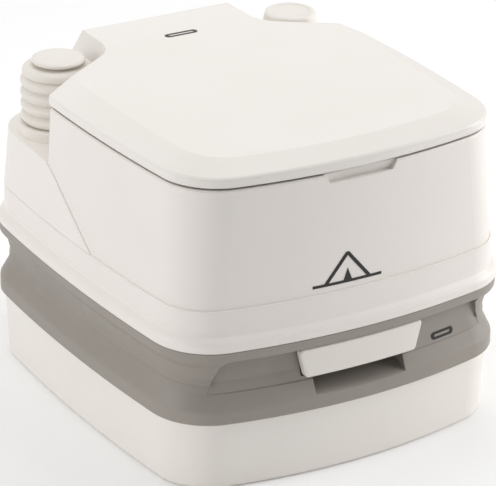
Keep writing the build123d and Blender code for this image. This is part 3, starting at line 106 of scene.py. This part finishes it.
@dataclass(frozen=True)
class Finish:
    """One real material with the surface its making gave it.

    Attributes:
        name: Name of the Blender material.
        colour: Main colour, sRGB hex.
        shade: Slightly different colour that it drifts to over the piece, sRGB hex.
        roughness: Mean roughness.
        ior: Refractive index; None keeps the default.
        metallic: 1 for a bare metal.
        texture: How its surface was made.
        grain_mm: Size of the mould's grain.
        grain_mm_high: Height of that grain.
        edge_mm: Radius that its edges are broken with.
        edge_wear_and_highlight: How much paler the convex edges are, partly from handling wear and partly a
            painted highlight.
        coat: Clear gloss layer's weight.
        subsurface: Share of the light that enters and leaves again.
    """

    name: str
    colour: str
    shade: str
    roughness: float
    ior: float | None = 1.49
    metallic: float = 0.0
    texture: Texture = Texture.FINE_SPARK
    grain_mm: float = 1.1
    grain_mm_high: float = 0.012
    edge_mm: float = 1.2
    edge_wear_and_highlight: float = 0.25
    coat: float = 0.0
    subsurface: float = 0.0

    def material(self) -> bpy.types.Material:
        """Builds the material once and returns it after that."""
        made = bpy.data.materials.get(self.name)
        if made:
            return made
        made = bpy.data.materials.new(self.name)
        made.use_nodes = True
        tree = made.node_tree
        tree.nodes.clear()
        place = add_node(tree, "ShaderNodeTexCoord").outputs["Object"]
        # slow drift of colour, as resin batches and light ageing give a moulding
        drift = add_node(
            tree,
            "ShaderNodeTexNoise",
            inputs={"Scale": 1 / (DRIFT_MM * MM), "Detail": 3.0},
            links={"Vector": place},
        )
        tone = add_node(
            tree,
            "ShaderNodeMix",
            {"data_type": "RGBA"},
            {"A": linear(self.colour), "B": linear(self.shade)},
            {"Factor": drift.outputs["Fac"]},
        )
        # faint scuffs from handling, coarser than the grain
        scuffs = add_node(
            tree,
            "ShaderNodeTexNoise",
            inputs={"Scale": 1 / (SCUFF_MM * MM), "Detail": 6.0, "Roughness": 0.65},
            links={"Vector": place},
        )
        polish = add_node(
            tree,
            "ShaderNodeMapRange",
            inputs={
                "From Min": 0.3,
                "From Max": 0.75,
                "To Min": max(self.roughness - 0.05, 0.03),
                "To Max": min(self.roughness + 0.09, 1.0),
            },
            links={"Value": scuffs.outputs["Fac"]},
        )
        colour = tone.outputs["Result"]
        # convex edges painted paler: partly handling wear, partly a painted highlight along the edges
        if self.edge_wear_and_highlight:
            convex = add_node(
                tree,
                "ShaderNodeMapRange",
                inputs={"From Min": 0.5, "From Max": 0.62, "To Min": 0.0, "To Max": self.edge_wear_and_highlight},
                links={"Value": add_node(tree, "ShaderNodeNewGeometry").outputs["Pointiness"]},
            )
            rub_and_highlight = add_node(
                tree,
                "ShaderNodeMath",
                {"operation": "MULTIPLY"},
                links={0: convex.outputs["Result"], 1: scuffs.outputs["Fac"]},
            )
            worn_and_highlit = add_node(
                tree,
                "ShaderNodeMix",
                {"data_type": "RGBA"},
                {},
                {"Factor": rub_and_highlight.outputs["Value"], "A": colour},
            )
            pale = tuple(min(c * 1.18 + 0.01, 1.0) for c in linear(self.colour)[:3]) + (1.0,)
            worn_and_highlit.inputs["B"].default_value = pale
            colour = worn_and_highlit.outputs["Result"]
        height = self._height(tree, place)
        soft_edge = add_node(
            tree, "ShaderNodeBevel", {"samples": 6}, {"Radius": self.edge_mm * MM}
        )
        bump = add_node(
            tree,
            "ShaderNodeBump",
            inputs={"Strength": 1.0, "Distance": self.grain_mm_high * MM},
            links={"Height": height, "Normal": soft_edge.outputs["Normal"]},
        )
        shader = add_node(
            tree,
            "ShaderNodeBsdfPrincipled",
            inputs={
                "Metallic": self.metallic,
                "Coat Weight": self.coat,
                "Subsurface Weight": self.subsurface,
            },
            links={
                "Base Color": colour,
                "Roughness": polish.outputs["Result"],
                "Normal": bump.outputs["Normal"],
            },
        )
        if self.ior is not None:
            shader.inputs["IOR"].default_value = self.ior
        if self.subsurface:
            shader.inputs["Subsurface Radius"].default_value = (1.0, 0.9, 0.8)
            shader.inputs["Subsurface Scale"].default_value = 1.5 * MM
        add_node(tree, "ShaderNodeOutputMaterial", links={"Surface": shader.outputs["BSDF"]})
        return made

    def _height(self, tree: bpy.types.NodeTree, place: bpy.types.NodeSocket) -> bpy.types.NodeSocket:
        """Adds the pattern that the making left on the surface.

        Args:
            tree: The material's node tree.
            place: Object coordinates.

        Returns:
            The socket with the height.
        """
        if self.texture is Texture.BRUSHED:
            stretched = add_node(
                tree, "ShaderNodeMapping", inputs={"Scale": (1.0, 14.0, 14.0)}, links={"Vector": place}
            )
            place = stretched.outputs["Vector"]
        detail = {Texture.POLISHED: 1.0, Texture.SOFT: 2.0}.get(self.texture, 4.0)
        grain = add_node(
            tree,
            "ShaderNodeTexNoise",
            inputs={"Scale": 1 / (self.grain_mm * MM), "Detail": detail, "Roughness": 0.55},
            links={"Vector": place},
        )
        return grain.outputs["Fac"]


# High-density polyethylene, blow moulded in a spark-eroded mould: a dull satin with a fine even grain.
WHITE_TANK = Finish(
    "polyethylene_blow_moulded_white", "F2ECE7", "EEE8E2", 0.42, 1.51, grain_mm=1.2, grain_mm_high=0.02,
    edge_mm=0.8, edge_wear_and_highlight=0.2,
)
# Polypropylene, injection moulded: a little glossier than the tanks, with sharper edges.
WHITE_LID = Finish(
    "polypropylene_injection_moulded_white", "F1ECE7", "ECE7E0", 0.34, 1.49, grain_mm=0.9,
    grain_mm_high=0.012,
    edge_mm=1.4, edge_wear_and_highlight=0.2,
)
WHITE_BASE = Finish(
    "polyethylene_blow_moulded_white_base", "F3EEE8", "EEE8E1", 0.44, 1.51, grain_mm=1.2, grain_mm_high=0.02,
    edge_mm=1.6, edge_wear_and_highlight=0.25,
)
# The same resin polished in the mould, for what has to be wiped clean.
WHITE_BOWL = Finish(
    "polypropylene_polished_white", "F0ECE8", "EAE6E0", 0.16, 1.49, texture=Texture.POLISHED, grain_mm=6.0,
    grain_mm_high=0.01, edge_wear_and_highlight=0.0, coat=0.3,
)
WHITE_FITTING = Finish(
    "polypropylene_injection_moulded_fitting", "EFEAE4", "E9E3DB", 0.38, 1.49, grain_mm=0.8,
    grain_mm_high=0.012,
    edge_mm=0.8, edge_wear_and_highlight=0.3,
)
# Low-density polyethylene, blow moulded thin so that it folds: softer sheen, slightly translucent.
BELLOWS_SKIN = Finish(
    "polyethylene_soft_bellows", "EEE9E2", "E7E1D8", 0.46, 1.51, texture=Texture.SOFT, grain_mm=2.0,
    grain_mm_high=0.02, edge_mm=1.2, edge_wear_and_highlight=0.15, subsurface=0.15,
)
# Grey-filled polyethylene, blow moulded: the pigment dulls it.
GREY_TANK = Finish(
    "polyethylene_blow_moulded_grey", "9D968E", "968F87", 0.5, 1.51, grain_mm=1.2, grain_mm_high=0.025,
    edge_mm=1.6, edge_wear_and_highlight=0.3,
)
GREY_VALVE = Finish(
    "acetal_moulded_grey", "6B6863", "64615D", 0.4, 1.48, grain_mm=0.7, grain_mm_high=0.01,
    edge_mm=0.6, edge_wear_and_highlight=0.3
)
# Nitrile rubber from a polished press tool.
SEAL_RUBBER = Finish(
    "nitrile_rubber_pressed", "17171A", "1D1D20", 0.6, 1.52, texture=Texture.SOFT, grain_mm=0.8,
    grain_mm_high=0.02, edge_mm=0.4, edge_wear_and_highlight=0.1,
)
# Stainless wire and pins, drawn and then bright.
STEEL = Finish(
    "stainless_steel_drawn", "C9C7C4", "BFBDBA", 0.24, None, metallic=1.0, texture=Texture.BRUSHED,
    grain_mm=0.5,
    grain_mm_high=0.006, edge_mm=0.2, edge_wear_and_highlight=0.0,
)
# Vinyl tube, extruded: clear resin clouded by plasticiser.
VINYL_HOSE = Finish(
    "vinyl_extruded_hose", "D6D4CE", "CFCDC6", 0.3, 1.53, texture=Texture.SOFT, grain_mm=3.0,
    grain_mm_high=0.02,
    edge_mm=0.3, edge_wear_and_highlight=0.0, subsurface=0.2,
)
# Screen-printed ink, a thin film with a slightly rough edge.
PRINT_INK = Finish(
    "screen_printed_ink_black", "1B1817", "221F1D", 0.38, 1.5, texture=Texture.SOFT, grain_mm=0.6,
    grain_mm_high=0.006, edge_mm=0.1, edge_wear_and_highlight=0.0,
)


@dataclass
class Studio:
    """Pale floor, soft lamps and the camera.

    Attributes:
        target_mm: Point that the camera looks at.
        distance_mm: From the camera to that point.
        azimuth_deg: Camera's turn about the object; 0 looks along +Y.
        elevation_deg: Camera's height above the horizon.
        roll_deg: Turn about the line of sight.
        lens_mm: Focal length on a 36 mm wide sensor.
        shift: Lens shift, in shares of the picture's width.
    """

    target_mm: tuple[float, float, float] = (0.0, -3.83, 148.5)
    distance_mm: float = 2888.2
    azimuth_deg: float = -31.849
    elevation_deg: float = 24.2
    roll_deg: float = 0.9726
    lens_mm: float = 214.3
    shift: tuple[float, float] = (-0.00124, -0.002)

    def build(self) -> None:
        """Makes the camera, the floor, the lamps and the sky."""
        self._camera()
        self._floor()
        self._lamps()
        self._sky()
        bpy.context.scene.view_settings.view_transform = "Standard"

    def _camera(self) -> None:
        """Places the camera."""
        turn = math.radians(self.azimuth_deg)
        rise = math.radians(self.elevation_deg)
        roll = math.radians(self.roll_deg)
        back = Vector((math.sin(turn) * math.cos(rise), -math.cos(turn) * math.cos(rise), math.sin(rise)))
        right = Vector((math.cos(turn), math.sin(turn), 0.0))
        up = back.cross(right)
        rolled_right = right * math.cos(roll) + up * math.sin(roll)
        rolled_up = up * math.cos(roll) - right * math.sin(roll)
        data = bpy.data.cameras.new("studio_camera")
        data.lens = self.lens_mm
        data.sensor_width = 36.0
        data.shift_x, data.shift_y = self.shift
        data.clip_end = 50.0
        camera = bpy.data.objects.new("studio_camera", data)
        bpy.context.scene.collection.objects.link(camera)
        place = (Vector(self.target_mm) + back * self.distance_mm) * MM
        axes = Matrix((rolled_right, rolled_up, back)).transposed().to_4x4()
        camera.matrix_world = Matrix.Translation(place) @ axes
        bpy.context.scene.camera = camera

    def _floor(self) -> None:
        """Makes a wide pale floor under the object."""
        mesh = bpy.data.meshes.new("studio_floor")
        reach = 12.0
        square = [(-reach, -reach, 0), (reach, -reach, 0), (reach, reach, 0), (-reach, reach, 0)]
        mesh.from_pydata(square, [], [(0, 1, 2, 3)])
        floor = bpy.data.objects.new("studio_floor", mesh)
        bpy.context.scene.collection.objects.link(floor)
        floor.location.z = -0.0005
        paper = bpy.data.materials.new("studio_paper_pale")
        paper.use_nodes = True
        shader = paper.node_tree.nodes["Principled BSDF"]
        shader.inputs["Base Color"].default_value = linear("F7F7F7")
        shader.inputs["Roughness"].default_value = 0.9
        shader.inputs["Specular IOR Level"].default_value = 0.1
        # a paper floor lit from below keeps its far end pale
        shader.inputs["Emission Color"].default_value = (1.0, 1.0, 1.0, 1.0)
        shader.inputs["Emission Strength"].default_value = 0.07
        mesh.materials.append(paper)

    def _lamps(self) -> None:
        """Hangs the soft lamps."""
        self._lamp("softbox_top", (0.0, 0.0, 2.6), (0.0, 0.0, 0.2), 2.4, 26.3)
        self._lamp("softbox_left", (-2.8, 0.3, 1.2), (0.0, 0.0, 0.15), 1.8, 28.6)
        self._lamp("softbox_right", (2.8, -0.9, 1.2), (0.0, 0.0, 0.15), 1.8, 60.0)
        self._lamp("softbox_back", (-0.6, 2.4, 2.0), (0.0, 0.0, 0.2), 2.0, 14.0)
        self._lamp("softbox_back_right", (1.4, 2.3, 1.5), (0.0, 0.0, 0.2), 2.0, 8.5)

    def _lamp(
        self,
        name: str,
        place: tuple[float, float, float],
        aim: tuple[float, float, float],
        size: float,
        power: float,
    ) -> None:
        """Hangs one square soft lamp.

        Args:
            name: Its name.
            place: Where it hangs, in metres.
            aim: What it points at, in metres.
            size: Its side, in metres.
            power: Its power, in watts.
        """
        data = bpy.data.lights.new(name, "AREA")
        data.size = size
        data.energy = power
        lamp = bpy.data.objects.new(name, data)
        bpy.context.scene.collection.objects.link(lamp)
        lamp.location = place
        lamp.rotation_euler = (Vector(aim) - Vector(place)).to_track_quat("-Z", "Y").to_euler()

    def _sky(self) -> None:
        """Fills the room with even white light."""
        world = bpy.data.worlds.new("studio_white")
        world.use_nodes = True
        world.node_tree.nodes["Background"].inputs["Color"].default_value = (1.0, 1.0, 1.0, 1.0)
        world.node_tree.nodes["Background"].inputs["Strength"].default_value = 0.28
        bpy.context.scene.world = world


@dataclass(frozen=True)
class Outline:
    """Plan of the tanks: bowed front and sides, straight rear and round corners.

    Attributes:
        inset: How far it lies inside the widest plan.
        bow: Bow of the front.
        corner: Radius of the corners.
        half_width: Half of the widest width.
        half_depth: Half of the depth.
        side_bow: Bow of each side.
    """

    inset: float
    bow: float
    corner: float
    half_width: float = 193.0 * MM
    half_depth: float = 211.5 * MM
    side_bow: float = 10.6 * MM

    def points(self, spacing: float = 2.5 * MM) -> list[Vector]:
        """Walks round the plan, from the middle of the front over the right side.

        Args:
            spacing: Distance between points.

        Returns:
            Points on the plane Z = 0; the last one isn't the first again.
        """
        half = self.half_width - self.side_bow - self.inset
        front = -self.half_depth + self.inset
        rear = self.half_depth - self.inset
        knee = front + self.bow
        front_radius = (half**2 + self.bow**2) / (2 * self.bow)
        front_centre = Vector((0.0, front + front_radius))
        side_centre, side_radius = self._circle(
            Vector((half, knee)), Vector((half + self.side_bow, 0.0)), Vector((half, rear))
        )
        first = self._meet(
            front_centre, front_radius - self.corner, side_centre, side_radius - self.corner
        )
        rise = side_radius - self.corner
        drop = rear - self.corner - side_centre.y
        second = Vector((side_centre.x + math.sqrt(rise**2 - drop**2), rear - self.corner))
        start = first + (first - front_centre).normalized() * self.corner
        leave = first + (first - side_centre).normalized() * self.corner
        arrive = second + (second - side_centre).normalized() * self.corner
        end = Vector((second.x, rear))
        right = self._arc(front_centre, Vector((0.0, front)), start, spacing)
        right += self._arc(first, start, leave, spacing)
        right += self._arc(side_centre, leave, arrive, spacing)
        right += self._arc(second, arrive, end, spacing)
        right.append(end)
        left = [Vector((-point.x, point.y)) for point in reversed(right[1:])]
        return [point.to_3d() for point in right + left]

    @staticmethod
    def _circle(a: Vector, b: Vector, c: Vector) -> tuple[Vector, float]:
        """Centre and radius of the circle through three points."""
        scale = 2 * (a.x * (b.y - c.y) + b.x * (c.y - a.y) + c.x * (a.y - b.y))
        squares = [point.length_squared for point in (a, b, c)]
        x = squares[0] * (b.y - c.y) + squares[1] * (c.y - a.y) + squares[2] * (a.y - b.y)
        y = squares[0] * (c.x - b.x) + squares[1] * (a.x - c.x) + squares[2] * (b.x - a.x)
        centre = Vector((x, y)) / scale
        return centre, (a - centre).length

    @staticmethod
    def _meet(a: Vector, a_radius: float, b: Vector, b_radius: float) -> Vector:
        """Front right point where two circles meet."""
        apart = (b - a).length
        along = (a_radius**2 - b_radius**2 + apart**2) / (2 * apart)
        across = math.sqrt(a_radius**2 - along**2)
        line = (b - a) / apart
        foot = a + line * along
        ends = [foot + Vector((-line.y, line.x)) * across, foot - Vector((-line.y, line.x)) * across]
        return min(ends, key=lambda point: point.y - point.x)

    @staticmethod
    def _arc(centre: Vector, start: Vector, end: Vector, spacing: float) -> list[Vector]:
        """Points along the shorter arc, without its end."""
        radius = (start - centre).length
        low = math.atan2(start.y - centre.y, start.x - centre.x)
        turn = math.atan2(end.y - centre.y, end.x - centre.x) - low
        turn = (turn + math.pi) % (2 * math.pi) - math.pi
        parts = max(1, round(abs(turn) * radius / spacing))
        angles = [low + turn * part / parts for part in range(parts)]
        return [centre + Vector((math.cos(angle), math.sin(angle))) * radius for angle in angles]


def bead(name: str, path: list[Vector], height: float, radius: float, closed: bool) -> bpy.types.Object:
    """Runs a fine round bead along a path.

    Args:
        name: Name of the piece.
        path: Points of the path on the plane Z = 0.
        height: Height of the bead's axis.
        radius: Radius of the bead.
        closed: Whether its ends join.

    Returns:
        The new object.
    """
    mesh = bpy.data.meshes.new(name)
    build = bmesh.new()
    rings = []
    count = len(path)
    for place, point in enumerate(path):
        before = path[place - 1] if closed or place else point
        after = path[(place + 1) % count] if closed or place + 1 < count else point
        along = (after - before).normalized()
        across = Vector((along.y, -along.x, 0.0))
        middle = Vector((point.x, point.y, height))
        ring = []
        for side in range(BEAD_SIDES):
            angle = 2 * math.pi * side / BEAD_SIDES
            out = across * math.cos(angle) + Vector((0.0, 0.0, math.sin(angle)))
            ring.append(build.verts.new(middle + out * radius))
        rings.append(ring)
    for place in range(count if closed else count - 1):
        one, two = rings[place], rings[(place + 1) % count]
        for side in range(BEAD_SIDES):
            after = (side + 1) % BEAD_SIDES
            build.faces.new((one[side], two[side], two[after], one[after]))
    if not closed:
        build.faces.new(rings[0])
        build.faces.new(rings[-1])
    bmesh.ops.recalc_face_normals(build, faces=build.faces)
    build.to_mesh(mesh)
    build.free()
    mesh.shade_smooth()
    piece = bpy.data.objects.new(name, mesh)
    bpy.context.scene.collection.objects.link(piece)
    return piece


@dataclass
class SubAssembly:
    """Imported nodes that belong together, with the finish of each.

    Attributes:
        finishes: Finish of each node.
        sharp_deg: Edges that turn more than this stay sharp.
    """

    finishes: dict[str, Finish] = field(default_factory=dict)
    sharp_deg: float = 30.0

    def build(self) -> None:
        """Adds no mesh unless a sub-assembly has its own."""

    def dress(self) -> None:
        """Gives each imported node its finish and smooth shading."""
        for name, finish in self.finishes.items():
            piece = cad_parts[name]
            piece.data.materials.clear()
            piece.data.materials.append(finish.material())
            piece.data.shade_smooth()
            split = piece.modifiers.new("sharp_edges", "EDGE_SPLIT")
            split.split_angle = math.radians(self.sharp_deg)


def lathe(
    name: str,
    profile: list[tuple[float, float]],
    centre: tuple[float, float],
    steps: int = 96,
    flutes: int = 0,
    flute_depth: Callable[[float, float], float] | None = None,
) -> bpy.types.Object:
    """Turns a half profile about an upright axis into a closed mesh.

    Args:
        name: Name of the piece.
        profile: Radius and height of each point, in metres; both ends lie on the axis.
        centre: Where the axis stands, in metres.
        steps: Points round each ring.
        flutes: Number of grip flutes round the side.
        flute_depth: Depth of the flutes at a radius and height, in metres.

    Returns:
        The new object.
    """
    mesh = bpy.data.meshes.new(name)
    build = bmesh.new()
    rings = []
    for radius, height in profile:
        if radius < 1e-6:
            rings.append([build.verts.new((centre[0], centre[1], height))])
            continue
        ring = []
        for step in range(steps):
            angle = 2 * math.pi * step / steps
            reach = radius
            if flutes and flute_depth:
                wave = max(math.cos(flutes * angle), 0.0) ** 2
                reach -= flute_depth(radius, height) * wave
            x = centre[0] + reach * math.cos(angle)
            y = centre[1] + reach * math.sin(angle)
            ring.append(build.verts.new((x, y, height)))
        rings.append(ring)
    for low, high in zip(rings, rings[1:]):
        for step in range(steps):
            after = (step + 1) % steps
            if len(low) == 1:
                build.faces.new((low[0], high[after], high[step]))
            elif len(high) == 1:
                build.faces.new((low[step], low[after], high[0]))
            else:
                build.faces.new((low[step], low[after], high[after], high[step]))
    bmesh.ops.recalc_face_normals(build, faces=build.faces)
    build.to_mesh(mesh)
    build.free()
    mesh.shade_smooth()
    piece = bpy.data.objects.new(name, mesh)
    bpy.context.scene.collection.objects.link(piece)
    return piece


def rounded(
    start: tuple[float, float], middle: tuple[float, float], end: tuple[float, float], parts: int = 6
) -> list[tuple[float, float]]:
    """Points of a soft corner in a profile.

    Args:
        start: Where the corner begins.
        middle: The sharp corner that it replaces.
        end: Where the corner ends.
        parts: Number of runs.

    Returns:
        The points, both ends included.
    """
    points = []
    for part in range(parts + 1):
        share = part / parts
        a, b, c = (1 - share) ** 2, 2 * share * (1 - share), share**2
        points.append(tuple(a * p + b * q + c * r for p, q, r in zip(start, middle, end)))
    return points


@dataclass
class BellowsPump(SubAssembly):
    """Folding flush pump with its push button.

    Attributes:
        folds: Number of folds.
        fold_depth: From a crest to a groove.
        groove_sharpness: Below 1 the crests are full and the grooves narrow.
        fold_pitch: From one groove to the next.
        button_neck: Radius of the button's neck.
        travel: How far the pump is pushed; not used.
    """

    folds: int = 4
    fold_depth: float = 4.8 * MM
    groove_sharpness: float = 0.75
    finishes: dict[str, Finish] = field(
        default_factory=lambda: {
            "pump_collar": WHITE_FITTING,
            "pump_bellows": BELLOWS_SKIN,
            "pump_button": WHITE_FITTING,
            "suction_tube": VINYL_HOSE,
            "foot_valve": GREY_VALVE,
        }
    )
    fold_pitch: float = 12.1 * MM
    button_neck: float = 20.0 * MM
    travel: float = 32.0 * MM

    def build(self) -> None:
        """Builds the bellows and its button."""
        low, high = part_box("pump_bellows")
        centre = ((low.x + high.x) / 2, (low.y + high.y) / 2)
        crest = (high.x - low.x) / 2
        waist = crest - self.fold_depth
        profile = [(0.0, low.z), (waist, low.z)]
        parts = 14
        for fold in range(self.folds):
            foot = low.z + fold * self.fold_pitch
            for part in range(1, parts):
                swell = math.sin(math.pi * part / parts) ** self.groove_sharpness
                profile.append((waist + self.fold_depth * swell, foot + self.fold_pitch * part / parts))
            profile.append((waist, foot + self.fold_pitch))
        top = low.z + self.folds * self.fold_pitch
        profile += rounded(
            (waist, top), (crest - 1.6 * MM, top + 0.4 * MM), (crest - 1.8 * MM, top + 3.0 * MM)
        )
        profile += rounded(
            (crest - 1.9 * MM, top + 4.0 * MM),
            (crest - 3.0 * MM, high.z - 0.3 * MM),
            (crest - 10.0 * MM, high.z),
            10,
        )
        profile.append((0.0, high.z))
        skin = lathe("bellows_skin", profile, centre)
        skin.data.materials.append(BELLOWS_SKIN.material())
        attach(skin, "flush_tank")
        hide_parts("pump_bellows")
        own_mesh(skin)
        self._button(centre, high.z)

    def _button(self, centre: tuple[float, float], dome: float) -> None:
        """Builds the push button.

        Args:
            centre: Axis of the pump.
            dome: Height of the bellows' top.
        """
        low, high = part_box("pump_button")
        radius = (high.x - low.x) / 2
        foot = high.z - 4.4 * MM
        neck = self.button_neck
        profile = [(0.0, dome + 0.1 * MM), (neck, dome + 0.1 * MM)]
        profile += rounded((neck, foot - 1.0 * MM), (neck, foot), (neck + 1.0 * MM, foot))
        profile += rounded((radius - 1.4 * MM, foot), (radius, foot), (radius, foot + 1.4 * MM))
        profile += rounded(
            (radius, foot + 1.8 * MM),
            (radius, high.z - 0.9 * MM),
            (radius - 3.4 * MM, high.z - 0.35 * MM),
            8,
        )
        profile += [(radius * share, high.z - 0.35 * MM * share**2) for share in (0.7, 0.5, 0.3, 0.12)]
        profile.append((0.0, high.z))
        button = lathe("push_button", profile, centre)
        button.data.materials.append(WHITE_FITTING.material())
        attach(button, "pump")
        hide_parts("pump_button")


@dataclass
class FillCap(SubAssembly):
    """Screw cap of the flush tank, with grip flutes.

    Attributes:
        flutes: Number of grip flutes.
        flute_depth: Their depth at the foot.
        top_radius: Radius of its side at the top.
        bore: Radius of its hollow.
        roof: Thickness of its top.
    """

    finishes: dict[str, Finish] = field(
        default_factory=lambda: {
            "fill_neck": WHITE_FITTING,
            "fill_cap": WHITE_FITTING,
            "fill_cap_seal": SEAL_RUBBER,
        }
    )
    flutes: int = 8
    flute_depth: float = 4.2 * MM
    top_radius: float = 26.1 * MM
    bore: float = 23.05 * MM
    roof: float = 7.7 * MM

    def build(self) -> None:
        """Builds the cap."""
        low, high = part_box("fill_cap")
        centre = ((low.x + high.x) / 2, (low.y + high.y) / 2)
        foot_radius = (high.x - low.x) / 2
        side_top = high.z - 3.2 * MM
        inner_top = high.z - self.roof
        profile = [(0.0, inner_top), (self.bore, inner_top), (self.bore, low.z)]
        profile += rounded(
            (foot_radius - 1.0 * MM, low.z), (foot_radius, low.z), (foot_radius, low.z + 1.0 * MM), 4
        )
        for part in range(1, 10):
            share = part / 10
            profile.append(
                (foot_radius + (self.top_radius - foot_radius) * share, low.z + (side_top - low.z) * share)
            )
        profile += rounded(
            (self.top_radius, side_top),
            (self.top_radius - 0.2 * MM, high.z),
            (self.top_radius - 4.0 * MM, high.z),
            8,
        )
        profile += rounded(
            (self.top_radius - 6.0 * MM, high.z), (self.top_radius - 6.6 * MM, high.z - 0.8 * MM),
            (self.top_radius - 8.0 * MM, high.z - 0.8 * MM), 4,
        )
        profile.append((0.0, high.z - 0.8 * MM))

        def depth(radius: float, height: float) -> float:
            """Flutes fade out towards the crown; the bore has none."""
            share = (height - low.z) / (side_top - low.z)
            if radius <= self.bore or share > 1.08:
                return 0.0
            return self.flute_depth * (1.08 - share)

        cap = lathe("fill_cap_fluted", profile, centre, 192, self.flutes, depth)
        cap.data.materials.append(WHITE_FITTING.material())
        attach(cap, "fill_cap")
        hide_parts("fill_cap")


@dataclass
class WasteTank(SubAssembly):
    """White base and grey shell, with the pale line where the two meet.

    Attributes:
        finishes: Finish of each node.
        joint: Plan of the joint line.
        joint_height: Height of the joint line.
        joint_radius: Radius of the bead that stands in the joint.
    """

    finishes: dict[str, Finish] = field(
        default_factory=lambda: {
            "waste_tank_base": WHITE_BASE,
            "waste_tank_top": GREY_TANK,
            "level_mark": PRINT_INK,
            "latch_hook": WHITE_FITTING,
        }
    )
    joint: Outline = Outline(inset=3.9 * MM, bow=27.5 * MM, corner=60.0 * MM)
    joint_height: float = 69.6 * MM
    joint_radius: float = 0.7 * MM

    def build(self) -> None:
        """Lays the joint line round the tank."""
        line = bead("joint_line", self.joint.points(), self.joint_height, self.joint_radius, True)
        line.data.materials.append(WHITE_BASE.material())
        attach(line, "waste_tank")


@dataclass
class SlideValve(SubAssembly):
    """Valve between bowl and waste tank: frame, seals, blade and handle."""

    finishes: dict[str, Finish] = field(
        default_factory=lambda: {
            "valve_lower_plate": GREY_VALVE,
            "valve_upper_plate": GREY_VALVE,
            "lip_seal": SEAL_RUBBER,
            "blade_seal": SEAL_RUBBER,
            "valve_screws": STEEL,
            "valve_blade": GREY_VALVE,
            "valve_handle": WHITE_FITTING,
            "handle_screws": STEEL,
        }
    )


@dataclass
class PourSpout(SubAssembly):
    """Swivelling spout with its collar and cap."""

    finishes: dict[str, Finish] = field(
        default_factory=lambda: {
            "spout_collar": WHITE_FITTING,
            "pour_spout": WHITE_FITTING,
            "spout_cap": WHITE_FITTING,
            "spout_cap_seal": SEAL_RUBBER,
        }
    )


@dataclass
class VentButton(SubAssembly):
    """Spring-loaded button that lets air into the waste tank."""

    finishes: dict[str, Finish] = field(
        default_factory=lambda: {
            "vent_guide": WHITE_FITTING,
            "vent_spring": STEEL,
            "vent_button": GREY_VALVE,
            "vent_seal": SEAL_RUBBER,
        }
    )


@dataclass
class Latch(SubAssembly):
    """Lever that holds the two tanks together."""

    finishes: dict[str, Finish] = field(
        default_factory=lambda: {"latch_lever": GREY_VALVE, "latch_pin": STEEL}
    )


@dataclass
class FlushTank(SubAssembly):
    """White upper tank with its bowl and plumbing, and the rounded lip of its skirt.

    Attributes:
        finishes: Finish of each node.
        lip: Plan of the skirt's lip.
        lip_height: Height of the lip.
        lip_radius: Radius of the lip.
        lip_rear: The lip runs out where the sides reach this Y.
    """

    finishes: dict[str, Finish] = field(
        default_factory=lambda: {
            "flush_tank_shell": WHITE_TANK,
            "flush_tank_floor": WHITE_TANK,
            "bowl": WHITE_BOWL,
            "outlet_gasket": SEAL_RUBBER,
            "flush_hose": VINYL_HOSE,
            "rim_nozzle": WHITE_FITTING,
            "front_mark": PRINT_INK,
        }
    )
    lip: Outline = Outline(inset=7.2 * MM, bow=24.0 * MM, corner=52.0 * MM)
    lip_height: float = 182.9 * MM
    lip_radius: float = 0.9 * MM
    lip_rear: float = -24.0 * MM

    def build(self) -> None:
        """Lays the lip round the front, from side to side."""
        path = self.lip.points()
        half = len(path) // 2
        front = [point for point in path[half:] + path[:half] if point.y < self.lip_rear]
        lip = bead("skirt_lip", front, self.lip_height, self.lip_radius, False)
        lip.data.materials.append(WHITE_TANK.material())
        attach(lip, "flush_tank")


@dataclass
class Seat(SubAssembly):
    """Seat ring on its buffers."""

    finishes: dict[str, Finish] = field(
        default_factory=lambda: {"seat_ring": WHITE_LID, "seat_buffers": SEAL_RUBBER}
    )


@dataclass
class Lid(SubAssembly):
    """Lid with its mark, its buffers and the pins that it turns on."""

    finishes: dict[str, Finish] = field(
        default_factory=lambda: {
            "lid": WHITE_LID,
            "lid_buffers": SEAL_RUBBER,
            "lid_mark": PRINT_INK,
            "hinge_pins": STEEL,
        }
    )


def main() -> None:
    """Builds everything in order, from the floor up."""
    logging.basicConfig(level=logging.INFO, format="%(name)s: %(message)s")
    Studio().build()
    LOG.info("studio ready")
    parts: list[SubAssembly] = [
        WasteTank(), SlideValve(), PourSpout(), VentButton(), Latch(), FlushTank(), BellowsPump(), FillCap(),
        Seat(), Lid(),
    ]
    for part in parts:
        part.build()
        part.dress()
        LOG.info("%s: %s", type(part).__name__, ", ".join(part.finishes))


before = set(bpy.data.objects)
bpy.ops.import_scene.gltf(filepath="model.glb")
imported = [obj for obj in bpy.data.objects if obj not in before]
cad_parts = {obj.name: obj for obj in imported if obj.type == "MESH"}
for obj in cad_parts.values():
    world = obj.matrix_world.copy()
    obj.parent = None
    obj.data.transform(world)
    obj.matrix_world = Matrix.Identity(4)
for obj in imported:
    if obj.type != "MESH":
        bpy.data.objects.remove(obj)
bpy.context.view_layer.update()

if __name__ == "__main__":
    main()
